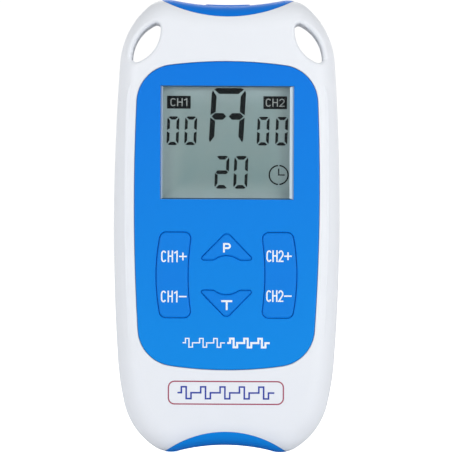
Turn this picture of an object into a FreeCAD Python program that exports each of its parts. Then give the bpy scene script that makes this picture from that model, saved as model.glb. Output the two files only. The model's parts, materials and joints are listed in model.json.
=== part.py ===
import FreeCAD, Part
import math
import os

# A hand-held two-channel nerve stimulator: a waisted white casing of two shells with blue end
# caps, a blue keypad fascia with a display, two lead sockets in the lower end, a battery bay
# under a hinged cover and a belt clip on the back. Millimetres. +X is the user's right, +Y the
# back and +Z the top. Depths are measured from the plane where the two shells meet, and every
# solid is moved by SPLIT_PLANE_Y when it is written, which centres the object's box on Z.

# ---------------------------------------------------------------- casing
CASE_LENGTH = 120.0
CASE_WIDTH = 60.0
CASE_DEPTH = 24.0
WALL = 1.8
RIM_RADIUS = 6.5
CROWN_RADIUS = 300.0
WIDEST_Z = 60.6
PEAK_RADIUS = 8.0
TOP_SIDE_RUNS = [(619.0, 3.95)]
TOP_PEAK_X = 15.9
TOP_DIP = 1.6
BOTTOM_SIDE_RUNS = [(521.0, 3.98), (72.0, 9.5)]
BOTTOM_PEAK_X = 14.5
BOTTOM_DIP = 1.85
TOP_CAP_EDGE_Z = 115.4
TOP_CAP_EDGE_RADIUS = 37.4
BOTTOM_CAP_EDGE_Z = 5.6
BOTTOM_CAP_EDGE_RADIUS = 26.8
CAP_GAP = 0.06
CAP_TOE_HEIGHT = 0.8
CAP_TOE_HALF_DEPTH = 2.6
CAP_SKIN = 0.6
LIP_DEPTH = 1.2
LIP_GAP = 0.1
SEAM_GROOVE = 0.3
BACK = CASE_DEPTH / 2
INNER_BACK = BACK - WALL

# ---------------------------------------------------------------- lanyard eyes
EYE_X = 21.6
EYE_Z = 108.5
EYE_HALF_CHORD = 6.7
EYE_OUTER_SAG = 2.4
EYE_INNER_SAG = 2.9
EYE_TILT = 32.7
EYE_TIP_RADIUS = 1.2
EYE_RIM_RADIUS = 0.8
EYE_WALL = 1.5

# ---------------------------------------------------------------- fascia, keys and display
FASCIA_TOP_CORNER = (23.55, 101.1)
FASCIA_BOTTOM_CORNER = (22.8, 24.5)
FASCIA_TOP_Z = 103.5
FASCIA_BOTTOM_Z = 21.95
FASCIA_SIDE = (24.5, 67.0)
FASCIA_CORNER_RADIUS = 10.0
FASCIA_PROUD = 0.2
FASCIA_RIM_RADIUS = 0.3
FASCIA_BACK = -10.3
FASCIA_GAP = 0.12
FLOOR_BACK = -9.2
FLOOR_MARGIN = 2.6
KEY_PROUD = 0.45
KEY_GAP = 0.14
KEY_RIM_GAP = 0.08
KEY_BACK = -8.5
KEY_TRAVEL = 0.5
KEY_EDGE_RADIUS = 0.55
ARROW_HALF_WIDTH = 7.2
ARROW_FOOT_X = 3.4
ARROW_BASE_Z = 51.0
ARROW_APEX_Z = 58.4
ARROW_BASE_SAG = 1.2
ARROW_APEX_RADIUS = 1.3
ARROW_TIP_RADIUS = 0.5
ARROW_FOOT_RADIUS = 2.0
KEYPAD_MID_Z = 47.0
ROCKER_X = 14.0
ROCKER_HALF_HEIGHT = 11.3
ROCKER_OUTER = (17.35, 18.55)
ROCKER_INNER = (9.25, 10.2)
ROCKER_CORNER_RADIUS = 1.7
ROCKER_PILL_Z = 6.0
ROCKER_TILT = 3.2
WINDOW_WIDTH = 35.2
WINDOW_HEIGHT = 29.95
WINDOW_Z = 82.05
WINDOW_FLANGE = 1.5
WINDOW_FLANGE_FRONT = -10.9
WINDOW_BEVEL_START = -11.15
WINDOW_FRONT = -11.6
BEVEL_LEFT = 0.5
BEVEL_RIGHT = 1.05
BEVEL_ENDS = 0.3

# ---------------------------------------------------------------- board stack
BOARD_FRONT = -6.4
BOARD_BACK = -5.6
BOARD_HALF_WIDTH = 21.0
MAT_FRONT = -7.2
MAT_RING_FRONT = -7.85
PAD_FRONT = -6.46
PAD_RADIUS = 1.8
PILL_RADIUS = 1.5
PILL_CLEARANCE = 0.08
CHIP_HALF_WIDTH = 5.5
CHIP_Z = (80.0, 89.0)
CHIP_LEG_PITCH = 0.76
CHIP_LEG_REACH = 1.0
TRANSFORMER_X = 14.0
TRANSFORMER_Z = (76.0, 85.0)
TRANSFORMER_HALF_WIDTH = 4.5
TRANSFORMER_HEIGHT = 8.0
TRANSFORMER_COIL_RADIUS = 3.3
CAPACITOR_X = (-17.0, -10.0, 10.0, 17.0)
CAPACITOR_Z = 92.5
CAPACITOR_RADIUS = 3.0
CAPACITOR_HEIGHT = 8.5
BUZZER_Z = 97.0
BUZZER_RADIUS = 5.5
FRAME_FRONT = -8.9
GLASS_HALF_WIDTH = 18.6
GLASS_HALF_HEIGHT = 17.4
GLASS_THICKNESS = 0.7
GLASS_LEDGE = 2.2
GLASS_GAP = 0.05
FRAME_HALF_WIDTH = 20.5
FRAME_HALF_HEIGHT = 18.7
FRAME_LIP = 0.4
STRIP_HALF_WIDTH = 17.0
STRIP_HALF_RISE = 0.9
BOARD_SCREWS = [(19.3, 31.0), (19.3, 60.9), (5.5, 104.0)]
CASE_SCREWS = [(20.2, 20.0), (14.5, 107.0)]

# ---------------------------------------------------------------- batteries
CELL_RADIUS = 7.25
CELL_BODY = 49.5
CELL_NUB = 1.0
CELL_X = 7.6
CELL_Y = 2.9
BAY_HALF_WIDTH = 15.3
BAY_BOTTOM = 16.0
BAY_TOP = 71.2
BAY_FLOOR = -4.5
BAY_WALL = 0.8
CONTACT_STACK = 1.0
CONTACT_HALF_WIDTH = 5.0
CONTACT_THICKNESS = 0.4
CONTACT_TAB_HALF_WIDTH = 1.4
SPRING_HEIGHT = 3.2
SPRING_FOOT_RADIUS = 4.5
SPRING_HEAD_RADIUS = 3.5
SPRING_WALL = 0.6
NUB_RADIUS = 2.7
COVER_HALF_WIDTH = 17.0
COVER_BOTTOM = 13.6
COVER_TOP = 73.0
COVER_THICKNESS = 1.6
COVER_GAP = 0.2
COVER_HINGE_Z = 13.5

# ---------------------------------------------------------------- sockets and power button
SOCKET_X = 6.5
SOCKET_FACE_Z = 2.0
SOCKET_RADIUS = 4.0
SOCKET_MOUTH_RADIUS = 3.3
SOCKET_MOUTH_DEPTH = 3.2
SOCKET_WELL_RADIUS = 3.05
SOCKET_WELL_DEPTH = 10.0
SOCKET_LENGTH = 11.2
SOCKET_PIN_RADIUS = 1.0
SOCKET_PIN_RECESS = 4.4
SOCKET_NECK_RADIUS = 0.8
SOCKET_TAIL_Z = 13.85
BUTTON_HALF_WIDTH = 6.0
BUTTON_HALF_DEPTH = 3.0
BUTTON_GAP = 0.15
BUTTON_CORNER_RADIUS = 1.5
BUTTON_TOP_Z = CASE_LENGTH - TOP_DIP + 0.4
SWITCH_PLUNGER_Y = -2.2

# ---------------------------------------------------------------- belt clip
CLIP_HALF_WIDTH = 11.0
CLIP_THICKNESS = 2.0
CLIP_TOP_Z = 112.0
CLIP_START_Y = 17.75
CLIP_RUNS = [(-200.0, 6.0), (-30.0, 24.0), (4.0, 63.0)]
CLIP_START_LEAN = 2.0
CLIP_PIVOT_Y = 15.0
CLIP_PIVOT_Z = 105.0
CLIP_PIN_RADIUS = 0.8
RUNNING_CLEARANCE = 0.05
EAR_X = (5.5, 8.0)
EAR_RADIUS = 2.4
BRACKET_HALF_WIDTH = 9.0
BRACKET_BACK = BACK + 1.5

CLIP_BULGE = -CLIP_RUNS[0][0] * (1 - math.cos(math.radians(CLIP_START_LEAN)))
OBJECT_BACK = CLIP_START_Y + CLIP_BULGE + CLIP_THICKNESS / 2
OBJECT_FRONT = -(CASE_DEPTH / 2) - FASCIA_PROUD - KEY_PROUD
SPLIT_PLANE_Y = -(OBJECT_BACK + OBJECT_FRONT) / 2

V = FreeCAD.Vector
nodes = {}


# ---------------------------------------------------------------- helpers
def cosd(angle):
    return math.cos(math.radians(angle))


def sind(angle):
    return math.sin(math.radians(angle))


def box(x0, x1, y0, y1, z0, z1):
    return Part.makeBox(x1 - x0, y1 - y0, z1 - z0, V(x0, y0, z0))


def rod_x(y, z, radius, x0, x1):
    return Part.makeCylinder(radius, x1 - x0, V(x0, y, z), V(1, 0, 0))


def rod_y(x, z, radius, y0, y1):
    return Part.makeCylinder(radius, y1 - y0, V(x, y0, z), V(0, 1, 0))


def rod_z(x, y, radius, z0, z1):
    return Part.makeCylinder(radius, z1 - z0, V(x, y, z0), V(0, 0, 1))


def join(shapes):
    return shapes[0].fuse(shapes[1:]).removeSplitter()


def both_sides(shape):
    """A shape and its mirror image across the middle plane, as a list."""
    return [shape, shape.mirror(V(0, 0, 0), V(1, 0, 0))]


def line(start, end):
    return Part.LineSegment(start, end).toShape()


def arc(start, middle, end):
    return Part.Arc(start, middle, end).toShape()


def slab(edges, y0, y1):
    """The closed outline of the edges, which lie in the split plane, as a slab from y0 to y1."""
    face = Part.Face(Part.Wire(Part.__sortEdges__(edges)))
    face.translate(V(0, y0, 0))
    return face.extrude(V(0, y1 - y0, 0))


def depth_edges(shape, chosen=lambda x, z: True):
    """Straight edges that run from front to back, at the places that the test chooses."""
    found = []
    for edge in shape.Edges:
        first, last = edge.Vertexes[0].Point, edge.Vertexes[-1].Point
        along = abs(first.x - last.x) < 1e-6 and abs(first.z - last.z) < 1e-6
        if along and abs(first.y - last.y) > 0.1 and chosen(first.x, first.z):
            found.append(edge)
    return found


def front_loop(shape):
    """Edges round the front face, which is the face whose middle lies furthest forward."""
    face = min(shape.Faces, key=lambda item: item.CenterOfMass.y)
    return face.OuterWire.Edges


# ---------------------------------------------------------------- casing form
def end_arcs(side_runs, peak_x, peak_z, dip, up):
    """Arcs from the widest level to the middle of one end, for the right-hand half.

    Each is (centre x, centre z, radius, bulge, first angle, last angle), with angles from +X
    towards the end. The bulge is 1 on an outward curve and -1 on the dish in the end.
    """
    arcs = []
    x, z, turned = CASE_WIDTH / 2, WIDEST_Z, 0.0
    for radius, turn in side_runs:
        centre_x = x - radius * cosd(turned)
        centre_z = z - up * radius * sind(turned)
        arcs.append((centre_x, centre_z, radius, 1, turned, turned + turn))
        turned += turn
        x = centre_x + radius * cosd(turned)
        z = centre_z + up * radius * sind(turned)
    peak_centre_z = peak_z - up * PEAK_RADIUS
    gap_x, gap_z = x - peak_x, z - peak_centre_z
    outward = cosd(turned) * gap_x + up * sind(turned) * gap_z
    radius = (gap_x ** 2 + gap_z ** 2 - PEAK_RADIUS ** 2) / (2 * (outward - PEAK_RADIUS))
    centre_x = x - radius * cosd(turned)
    centre_z = z - up * radius * sind(turned)
    corner_end = math.degrees(math.atan2(up * (peak_centre_z - centre_z), peak_x - centre_x))
    arcs.append((centre_x, centre_z, radius, 1, turned, corner_end))
    lean = 2 * math.degrees(math.atan(dip / peak_x))
    arcs.append((peak_x, peak_centre_z, PEAK_RADIUS, 1, corner_end, 90 + lean))
    dish_radius = peak_x / sind(lean) - PEAK_RADIUS
    arcs.append((0.0, peak_z - up * dip + up * dish_radius, dish_radius, -1, lean - 90, -90))
    return arcs


def case_outline(inset):
    """Edges of the casing's outline in the split plane, moved inwards by inset."""
    ends = [
        (end_arcs(TOP_SIDE_RUNS, TOP_PEAK_X, CASE_LENGTH, TOP_DIP, 1), 1),
        (end_arcs(BOTTOM_SIDE_RUNS, BOTTOM_PEAK_X, 0.0, BOTTOM_DIP, -1), -1),
    ]
    edges = []
    for arcs, up in ends:
        for centre_x, centre_z, radius, bulge, first, last in arcs:
            reach = radius - bulge * inset
            for side in (1, -1):
                points = []
                for angle in (first, (first + last) / 2, last):
                    x = side * (centre_x + reach * cosd(angle))
                    points.append(V(x, 0, centre_z + up * reach * sind(angle)))
                edges.append(arc(*points))
    return edges


def crown(proud):
    """A tall cylinder whose front surface is the casing's crowned front, raised by proud."""
    axis_y = CROWN_RADIUS - CASE_DEPTH / 2
    return Part.makeCylinder(CROWN_RADIUS + proud, 2 * CASE_LENGTH, V(0, axis_y, -CASE_LENGTH / 2))


def envelope(inset):
    """The whole casing with its rolled rims, shrunk on every side by inset."""
    block = slab(case_outline(inset), -CASE_DEPTH, BACK - inset).common(crown(-inset))
    rims = [edge for edge in block.Edges
            if abs(edge.Vertexes[0].Y - edge.Vertexes[-1].Y) < CASE_DEPTH / 4]
    return block.makeFillet(RIM_RADIUS - inset, rims)


def cap_zone(top, grow):
    """A round bar through the casing whose edge is where an end cap meets the white shells."""
    if top:
        z, radius = TOP_CAP_EDGE_Z + TOP_CAP_EDGE_RADIUS, TOP_CAP_EDGE_RADIUS
    else:
        z, radius = BOTTOM_CAP_EDGE_Z - BOTTOM_CAP_EDGE_RADIUS, BOTTOM_CAP_EDGE_RADIUS
    return rod_y(0, z, radius + grow, -CASE_DEPTH, CASE_DEPTH)


def hull(inset):
    """The white part of the casing, without the end caps, shrunk by inset."""
    return envelope(inset).cut([cap_zone(True, inset), cap_zone(False, inset)])


def eye_outline(grow):
    """Edges of the right-hand lanyard eye: two arcs that meet at its tips."""
    along = V(-sind(EYE_TILT), 0, cosd(EYE_TILT))
    across = V(cosd(EYE_TILT), 0, sind(EYE_TILT))
    centre = V(EYE_X, 0, EYE_Z)
    low = centre - along * (EYE_HALF_CHORD + grow)
    high = centre + along * (EYE_HALF_CHORD + grow)
    outer = centre + across * (EYE_OUTER_SAG + grow)
    inner = centre - across * (EYE_INNER_SAG + grow)
    return [arc(low, outer, high), arc(high, inner, low)]


def eye_bar(grow):
    bar = slab(eye_outline(grow), -CASE_DEPTH, CASE_DEPTH)
    return bar.makeFillet(EYE_TIP_RADIUS + grow, depth_edges(bar))


def round_eye_rims(shell):
    """Rounds the outer rims of both lanyard eyes."""
    rims = []
    bars = both_sides(eye_bar(0))
    for edge in shell.Edges:
        middle = edge.valueAt((edge.FirstParameter + edge.LastParameter) / 2)
        outside = abs(middle.y) > CASE_DEPTH / 4
        if outside and min(bar.Shells[0].distToShape(Part.Vertex(middle))[0] for bar in bars) < 1e-3:
            rims.append(edge)
    return shell.makeFillet(EYE_RIM_RADIUS, rims)


# ---------------------------------------------------------------- fascia, keys and window outlines
def fascia_outline(grow):
    top_x, top_z = FASCIA_TOP_CORNER[0] + grow, FASCIA_TOP_CORNER[1] + grow
    low_x, low_z = FASCIA_BOTTOM_CORNER[0] + grow, FASCIA_BOTTOM_CORNER[1] - grow
    side_x, side_z = FASCIA_SIDE[0] + grow, FASCIA_SIDE[1]
    return [
        arc(V(-top_x, 0, top_z), V(0, 0, FASCIA_TOP_Z + grow), V(top_x, 0, top_z)),
        arc(V(top_x, 0, top_z), V(side_x, 0, side_z), V(low_x, 0, low_z)),
        arc(V(low_x, 0, low_z), V(0, 0, FASCIA_BOTTOM_Z - grow), V(-low_x, 0, low_z)),
        arc(V(-low_x, 0, low_z), V(-side_x, 0, side_z), V(-top_x, 0, top_z)),
    ]


def fascia_slab(grow, y0, y1):
    block = slab(fascia_outline(grow), y0, y1)
    return block.makeFillet(FASCIA_CORNER_RADIUS + grow, depth_edges(block))


def arrow_slab(grow, y0, y1):
    """The upper arrow key: a triangle with round corners and a hollow in the middle of its base."""
    base_z = ARROW_BASE_Z - grow
    apex = V(0, 0, ARROW_APEX_Z + 1.4 * grow)
    tip_x, foot_x = ARROW_HALF_WIDTH + 2.4 * grow, ARROW_FOOT_X - 0.33 * grow
    hollow = V(0, 0, base_z + ARROW_BASE_SAG)
    block = slab([
        line(V(-tip_x, 0, base_z), apex),
        line(apex, V(tip_x, 0, base_z)),
        line(V(tip_x, 0, base_z), V(foot_x, 0, base_z)),
        arc(V(foot_x, 0, base_z), hollow, V(-foot_x, 0, base_z)),
        line(V(-foot_x, 0, base_z), V(-tip_x, 0, base_z)),
    ], y0, y1)
    foot_limit = (ARROW_FOOT_X + ARROW_HALF_WIDTH) / 2
    rounds = [
        (ARROW_TIP_RADIUS, lambda x, z: abs(x) > foot_limit),
        (ARROW_FOOT_RADIUS, lambda x, z: 1 < abs(x) < foot_limit and z < ARROW_BASE_Z + 0.01),
        (ARROW_APEX_RADIUS, lambda x, z: abs(x) < 1e-3 and z > ARROW_BASE_Z + 3),
    ]
    for radius, chosen in rounds:
        block = block.makeFillet(radius + grow, depth_edges(block, chosen))
    return block


def flipped(shape):
    """The shape turned upside down about the middle of the keypad."""
    return shape.mirror(V(0, 0, KEYPAD_MID_Z), V(0, 0, 1))


def rocker_slab(grow, y0, y1):
    """The right-hand rocker key: bowed outwards on one side and hollow on the other."""
    outer_end, outer_mid = (value + grow for value in ROCKER_OUTER)
    inner_end, inner_mid = (value - grow for value in ROCKER_INNER)
    high = KEYPAD_MID_Z + ROCKER_HALF_HEIGHT + grow
    low = KEYPAD_MID_Z - ROCKER_HALF_HEIGHT - grow
    block = slab([
        arc(V(outer_end, 0, low), V(outer_mid, 0, KEYPAD_MID_Z), V(outer_end, 0, high)),
        line(V(outer_end, 0, high), V(inner_end, 0, high)),
        arc(V(inner_end, 0, high), V(inner_mid, 0, KEYPAD_MID_Z), V(inner_end, 0, low)),
        line(V(inner_end, 0, low), V(outer_end, 0, low)),
    ], y0, y1)
    return block.makeFillet(ROCKER_CORNER_RADIUS + grow, depth_edges(block))


def key_slabs(grow, y0, y1):
    arrow = arrow_slab(grow, y0, y1)
    return [arrow, flipped(arrow)] + both_sides(rocker_slab(grow, y0, y1))


def window_slab(grow, y0, y1):
    half_x, half_z = WINDOW_WIDTH / 2 + grow, WINDOW_HEIGHT / 2 + grow
    return box(-half_x, half_x, y0, y1, WINDOW_Z - half_z, WINDOW_Z + half_z)


def pill_places():
    """Where the keys' contacts lie on the board: (x, z) for each."""
    arrow_z = ARROW_BASE_Z + 3.2
    places = [(0.0, arrow_z), (0.0, 2 * KEYPAD_MID_Z - arrow_z)]
    for side in (1, -1):
        for end in (1, -1):
            places.append((side * ROCKER_X, KEYPAD_MID_Z + end * ROCKER_PILL_Z))
    return places


# ---------------------------------------------------------------- shells
def legs_through_ends(grow):
    """Bars where the end caps' legs and the sockets pass through the shells' end walls."""
    half = 1.5 + grow
    bars = []
    for side in (1, -1):
        bars.append(box(side * 11 - half, side * 11 + half, -2 - grow, 2 + grow, 112, 118.5))
        bars.append(box(side * 12.3 - 1 - grow, side * 12.3 + 1 + grow, -2 - grow, 2 + grow, 1.5, 8))
    return bars


def carve(shape, cutters):
    """The shape with each cutter taken away in turn."""
    for cutter in cutters:
        shape = shape.cut(cutter)
    return shape


def shell_blank():
    """Both shells in one: hollow, with the lanyard eyes and the end openings through it."""
    cavity = carve(hull(WALL), both_sides(eye_bar(EYE_WALL)))
    shell = carve(hull(0), both_sides(eye_bar(0))).cut(cavity)
    groove = slab(case_outline(-1.0), -SEAM_GROOVE / 2, SEAM_GROOVE / 2)
    return shell.cut(groove.cut(slab(case_outline(SEAM_GROOVE), -1, 1)))


def end_openings():
    """What is cut through the shells' end walls, for the caps' legs, the sockets and the button."""
    openings = legs_through_ends(0.1)
    for side in (1, -1):
        openings.append(rod_z(side * SOCKET_X, 0, SOCKET_RADIUS + CAP_GAP, -1, 9))
    openings.append(box(-2.2, 2.2, SWITCH_PLUNGER_Y - 1.2, SWITCH_PLUNGER_Y + 1.4, 112, 118))
    return openings


def plan(inset, y0, y1):
    """The white part of the casing near the split plane, where its sides run straight back."""
    return slab(case_outline(inset), y0, y1).cut([cap_zone(True, inset), cap_zone(False, inset)])


def lip_band(outer, inner, depth):
    """The tongue that stands up from the rear shell inside the front one."""
    return plan(outer, -depth, 0).cut(plan(inner, -2 * depth, depth))


def make_front_shell(blank):
    shell = blank.common(box(-40, 40, -CASE_DEPTH, 0, -5, 125))
    shell = shell.fuse(fascia_slab(FLOOR_MARGIN, FASCIA_BACK, FLOOR_BACK))
    limit = hull(1.0)
    bosses = []
    for x, z in CASE_SCREWS:
        bosses += both_sides(rod_y(x, z, 2.7, -11, -LIP_DEPTH).common(limit))
    for x, z in BOARD_SCREWS:
        bosses += both_sides(rod_y(x, z, 1.5, FASCIA_BACK + 0.3, BOARD_FRONT))
    shell = join([shell] + bosses)
    cuts = end_openings() + [lip_band(0.85, WALL + 0.2, LIP_DEPTH + LIP_GAP)]
    cuts.append(fascia_slab(FASCIA_GAP, -CASE_DEPTH, FASCIA_BACK))
    cuts.append(window_slab(0.5, FASCIA_BACK - 1, FLOOR_BACK + 1))
    cuts += key_slabs(KEY_GAP, FASCIA_BACK - 1, FLOOR_BACK + 0.1)
    for x, z in CASE_SCREWS:
        cuts += both_sides(rod_y(x, z, 1.0, -8.5, 1))
    for x, z in BOARD_SCREWS:
        cuts += both_sides(rod_y(x, z, 0.7, -9.0, 0))
    return round_eye_rims(carve(shell, cuts))


def make_rear_shell(blank):
    shell = blank.common(box(-40, 40, 0, CASE_DEPTH, -5, 125))
    wide = BAY_HALF_WIDTH + BAY_WALL
    adds = [lip_band(0.85 + LIP_GAP, WALL + 0.1, LIP_DEPTH)]
    adds.append(box(-wide, wide, BAY_FLOOR - BAY_WALL, INNER_BACK, BAY_BOTTOM - 1, BAY_TOP + 1))
    ledge_x = COVER_HALF_WIDTH + 1.4
    adds.append(box(-ledge_x, ledge_x, 9.0, INNER_BACK + 0.5, COVER_BOTTOM - 1.4, COVER_TOP + 1.4))
    limit = hull(1.0)
    for x, z in CASE_SCREWS:
        adds += both_sides(rod_y(x, z, 3.1, 0, BACK - 1).common(limit))
    adds += both_sides(rod_y(6.0, 109.6, 2.2, 5.5, INNER_BACK + 0.5))
    shell = join([shell] + adds)
    cuts = end_openings()
    cuts.append(box(-BAY_HALF_WIDTH, BAY_HALF_WIDTH, BAY_FLOOR, BACK + 1, BAY_BOTTOM, BAY_TOP))
    cuts.append(cover_plate(COVER_GAP, INNER_BACK, BACK + 1))
    cuts.append(box(-12, 12, 8.2, INNER_BACK + 0.1, COVER_HINGE_Z - 3.7, BAY_BOTTOM + 1))
    cuts.append(rod_x(BACK + 2.5, COVER_TOP, 4.0, -6, 6))
    for x, z in CASE_SCREWS:
        cuts += both_sides(rod_y(x, z, 1.2, -1, BACK + 1))
        cuts += both_sides(rod_y(x, z, 2.3, 7.0, BACK + 1))
    cuts += both_sides(rod_y(6.0, 109.6, 0.75, 6.0, BACK + 1))
    for x, z in contact_tab_places():
        cuts.append(box(x - 1.6, x + 1.6, BAY_FLOOR - 1, BAY_FLOOR + 0.1, z - 0.5, z + 0.5))
    return round_eye_rims(carve(shell, cuts))


def make_cap(top):
    """A blue end cap with the legs and hooked toes that hold it in the shells."""
    blank = envelope(0).common(cap_zone(top, -CAP_GAP))
    legs = [bar for bar in legs_through_ends(0)
            if (bar.BoundBox.ZMin > CASE_LENGTH / 2) == top]
    toes = []
    for leg in legs:
        low, high = leg.BoundBox.ZMin, leg.BoundBox.ZMax
        toe_z = (low, low + CAP_TOE_HEIGHT) if top else (high - CAP_TOE_HEIGHT, high)
        half_y = CAP_TOE_HALF_DEPTH
        toes.append(box(leg.BoundBox.XMin, leg.BoundBox.XMax, -half_y, half_y, *toe_z))
    outside = envelope(0).cut(cap_zone(top, 0.4)).common(cap_zone(top, -CAP_GAP - CAP_SKIN))
    legs = [leg.cut(outside) for leg in legs]
    cap = join([blank] + legs + toes)
    if top:
        half_x, half_y = BUTTON_HALF_WIDTH + BUTTON_GAP, BUTTON_HALF_DEPTH + BUTTON_GAP
        slot = box(-half_x, half_x, -half_y, half_y, 110, 122)
        upright = [edge for edge in slot.Edges if abs(edge.Vertexes[0].Z - edge.Vertexes[-1].Z) > 1]
        return cap.cut(slot.makeFillet(BUTTON_CORNER_RADIUS + BUTTON_GAP, upright))
    return cap.cut([rod_z(side * SOCKET_X, 0, SOCKET_RADIUS + CAP_GAP, -1, 9) for side in (1, -1)])


# ---------------------------------------------------------------- front pieces
def soft_openings(panel, openings):
    """Rounds the front rims of a panel's openings."""
    rims = []
    for edge in panel.Edges:
        middle = edge.valueAt((edge.FirstParameter + edge.LastParameter) / 2)
        in_front = middle.y < FASCIA_BACK - 0.8 and edge.BoundBox.YLength < 0.6
        if in_front and min(bar.Shells[0].distToShape(Part.Vertex(middle))[0] for bar in openings) < 1e-3:
            rims.append(edge)
    return panel.makeFillet(FASCIA_RIM_RADIUS, rims)


def make_fascia():
    blank = fascia_slab(0, -CASE_DEPTH, FASCIA_BACK).common(crown(FASCIA_PROUD))
    blank = blank.makeFillet(0.4, front_loop(blank))
    openings = key_slabs(KEY_RIM_GAP, -CASE_DEPTH, 0)
    window = window_slab(0.05, -CASE_DEPTH, 0)
    flange = window_slab(WINDOW_FLANGE + 0.05, WINDOW_FLANGE_FRONT - 0.05, 0)
    return soft_openings(blank.cut(openings + [window, flange]), openings)


def bevelled_block():
    """The raised part of the window: a block whose front edges are bevelled."""
    def rectangle(y, left, right, ends):
        x0, x1 = -WINDOW_WIDTH / 2 + left, WINDOW_WIDTH / 2 - right
        z0, z1 = WINDOW_Z - WINDOW_HEIGHT / 2 + ends, WINDOW_Z + WINDOW_HEIGHT / 2 - ends
        corners = [V(x0, y, z0), V(x1, y, z0), V(x1, y, z1), V(x0, y, z1), V(x0, y, z0)]
        return Part.makePolygon(corners)
    base = rectangle(WINDOW_BEVEL_START, 0, 0, 0)
    front = rectangle(WINDOW_FRONT, BEVEL_LEFT, BEVEL_RIGHT, BEVEL_ENDS)
    return Part.makeLoft([base, front], True, True)


def make_display_window():
    flange = window_slab(WINDOW_FLANGE, WINDOW_FLANGE_FRONT, FASCIA_BACK)
    raised = window_slab(0, WINDOW_BEVEL_START, WINDOW_FLANGE_FRONT)
    return join([flange, raised, bevelled_block()])


def key_body(block_back, slab_maker):
    """A key from its crowned, soft-edged front back to block_back."""
    body = slab_maker(0, -CASE_DEPTH, block_back).common(crown(FASCIA_PROUD + KEY_PROUD))
    return body.makeFillet(KEY_EDGE_RADIUS, front_loop(body))


def make_arrow_key():
    flange = arrow_slab(0.9, KEY_BACK - 0.6, KEY_BACK)
    return join([key_body(KEY_BACK, arrow_slab), flange])


def make_rocker_key():
    lug_half = 2.0
    lugs = rocker_slab(0.9, KEY_BACK - 0.55, KEY_BACK - 0.05)
    lugs = lugs.common(box(0, 30, -CASE_DEPTH, 0, KEYPAD_MID_Z - lug_half, KEYPAD_MID_Z + lug_half))
    return join([key_body(KEY_BACK, rocker_slab), lugs])


def make_pill(x, z, travel):
    return rod_y(x, z, PILL_RADIUS, KEY_BACK, PAD_FRONT - PILL_CLEARANCE - travel)


# ---------------------------------------------------------------- display stack
def make_display_nodes():
    """The display's frame, seal, two glasses, reflector and the strips that join it to the board."""
    half_x, half_z = GLASS_HALF_WIDTH, GLASS_HALF_HEIGHT
    outer = box(-FRAME_HALF_WIDTH, FRAME_HALF_WIDTH, FRAME_FRONT, BOARD_FRONT - 0.02,
                WINDOW_Z - FRAME_HALF_HEIGHT, WINDOW_Z + FRAME_HALF_HEIGHT)
    pocket = box(-half_x - 0.15, half_x + 0.15, FRAME_FRONT + FRAME_LIP, 0,
                 WINDOW_Z - half_z - 0.15, WINDOW_Z + half_z + 0.15)
    nodes["display_frame"] = outer.cut([pocket, window_slab(0.55, FRAME_FRONT - 1, 0)])
    gasket_front = FLOOR_BACK + 0.02
    gasket = window_slab(2.0, gasket_front, FRAME_FRONT - 0.02)
    nodes["display_gasket"] = gasket.cut(window_slab(0.6, gasket_front - 1, 0))
    front = FRAME_FRONT + FRAME_LIP + GLASS_GAP
    nodes["lcd_front_glass"] = box(-half_x, half_x, front, front + GLASS_THICKNESS,
                                   WINDOW_Z - half_z, WINDOW_Z + half_z)
    rear = front + GLASS_THICKNESS + GLASS_GAP
    rear_half = half_z - GLASS_LEDGE
    nodes["lcd_rear_glass"] = box(-half_x, half_x, rear, rear + GLASS_THICKNESS,
                                  WINDOW_Z - rear_half, WINDOW_Z + rear_half)
    back = rear + GLASS_THICKNESS + GLASS_GAP
    nodes["lcd_reflector"] = box(-18, 18, back, back + 0.15, WINDOW_Z - 15, WINDOW_Z + 15)
    strips = []
    for end in (1, -1):
        middle = WINDOW_Z + end * (half_z - 1.0)
        strips.append(box(-STRIP_HALF_WIDTH, STRIP_HALF_WIDTH, rear, BOARD_FRONT - 0.02,
                          middle - STRIP_HALF_RISE, middle + STRIP_HALF_RISE))
    nodes["elastomer_strips"] = Part.makeCompound(strips)


# ---------------------------------------------------------------- board and what is on it
def make_main_board():
    half, low_half = BOARD_HALF_WIDTH, 16.8
    corners = [(-low_half, 12.0), (low_half, 12.0), (low_half, 26.0), (half, 28.0), (half, 101.5),
               (8.0, 101.5), (8.0, 110.0), (-8.0, 110.0), (-8.0, 101.5), (-half, 101.5),
               (-half, 28.0), (-low_half, 26.0)]
    points = [V(x, 0, z) for x, z in corners]
    edges = [line(a, b) for a, b in zip(points, points[1:] + points[:1])]
    board = slab(edges, BOARD_FRONT, BOARD_BACK)
    cuts = []
    for x, z in BOARD_SCREWS:
        cuts += both_sides(rod_y(x, z, 1.1, -10, 0))
    for side in (1, -1):
        cuts.append(rod_y(side * SOCKET_X, SOCKET_TAIL_Z, 0.5, -10, 0))
    return board.cut(cuts)


def make_keypad_mat():
    mat = box(-20, 20, MAT_FRONT, BOARD_FRONT - 0.02, KEYPAD_MID_Z - 12.7, KEYPAD_MID_Z + 12.3)
    mat = mat.makeFillet(2.0, depth_edges(mat))
    rings = [rod_y(x, z, 3.0, MAT_RING_FRONT, MAT_FRONT) for x, z in pill_places()]
    bores = [rod_y(x, z, 2.0, -10, 0) for x, z in pill_places()]
    return join([mat] + rings).cut(bores)


def leads(x0, x1, z_list, reach):
    """Gull-wing legs of a chip on both of its sides."""
    legs = []
    for z in z_list:
        legs.append(box(x0 - reach, x0, BOARD_BACK, BOARD_BACK + 0.25, z - 0.2, z + 0.2))
        legs.append(box(x1, x1 + reach, BOARD_BACK, BOARD_BACK + 0.25, z - 0.2, z + 0.2))
    return legs


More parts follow.
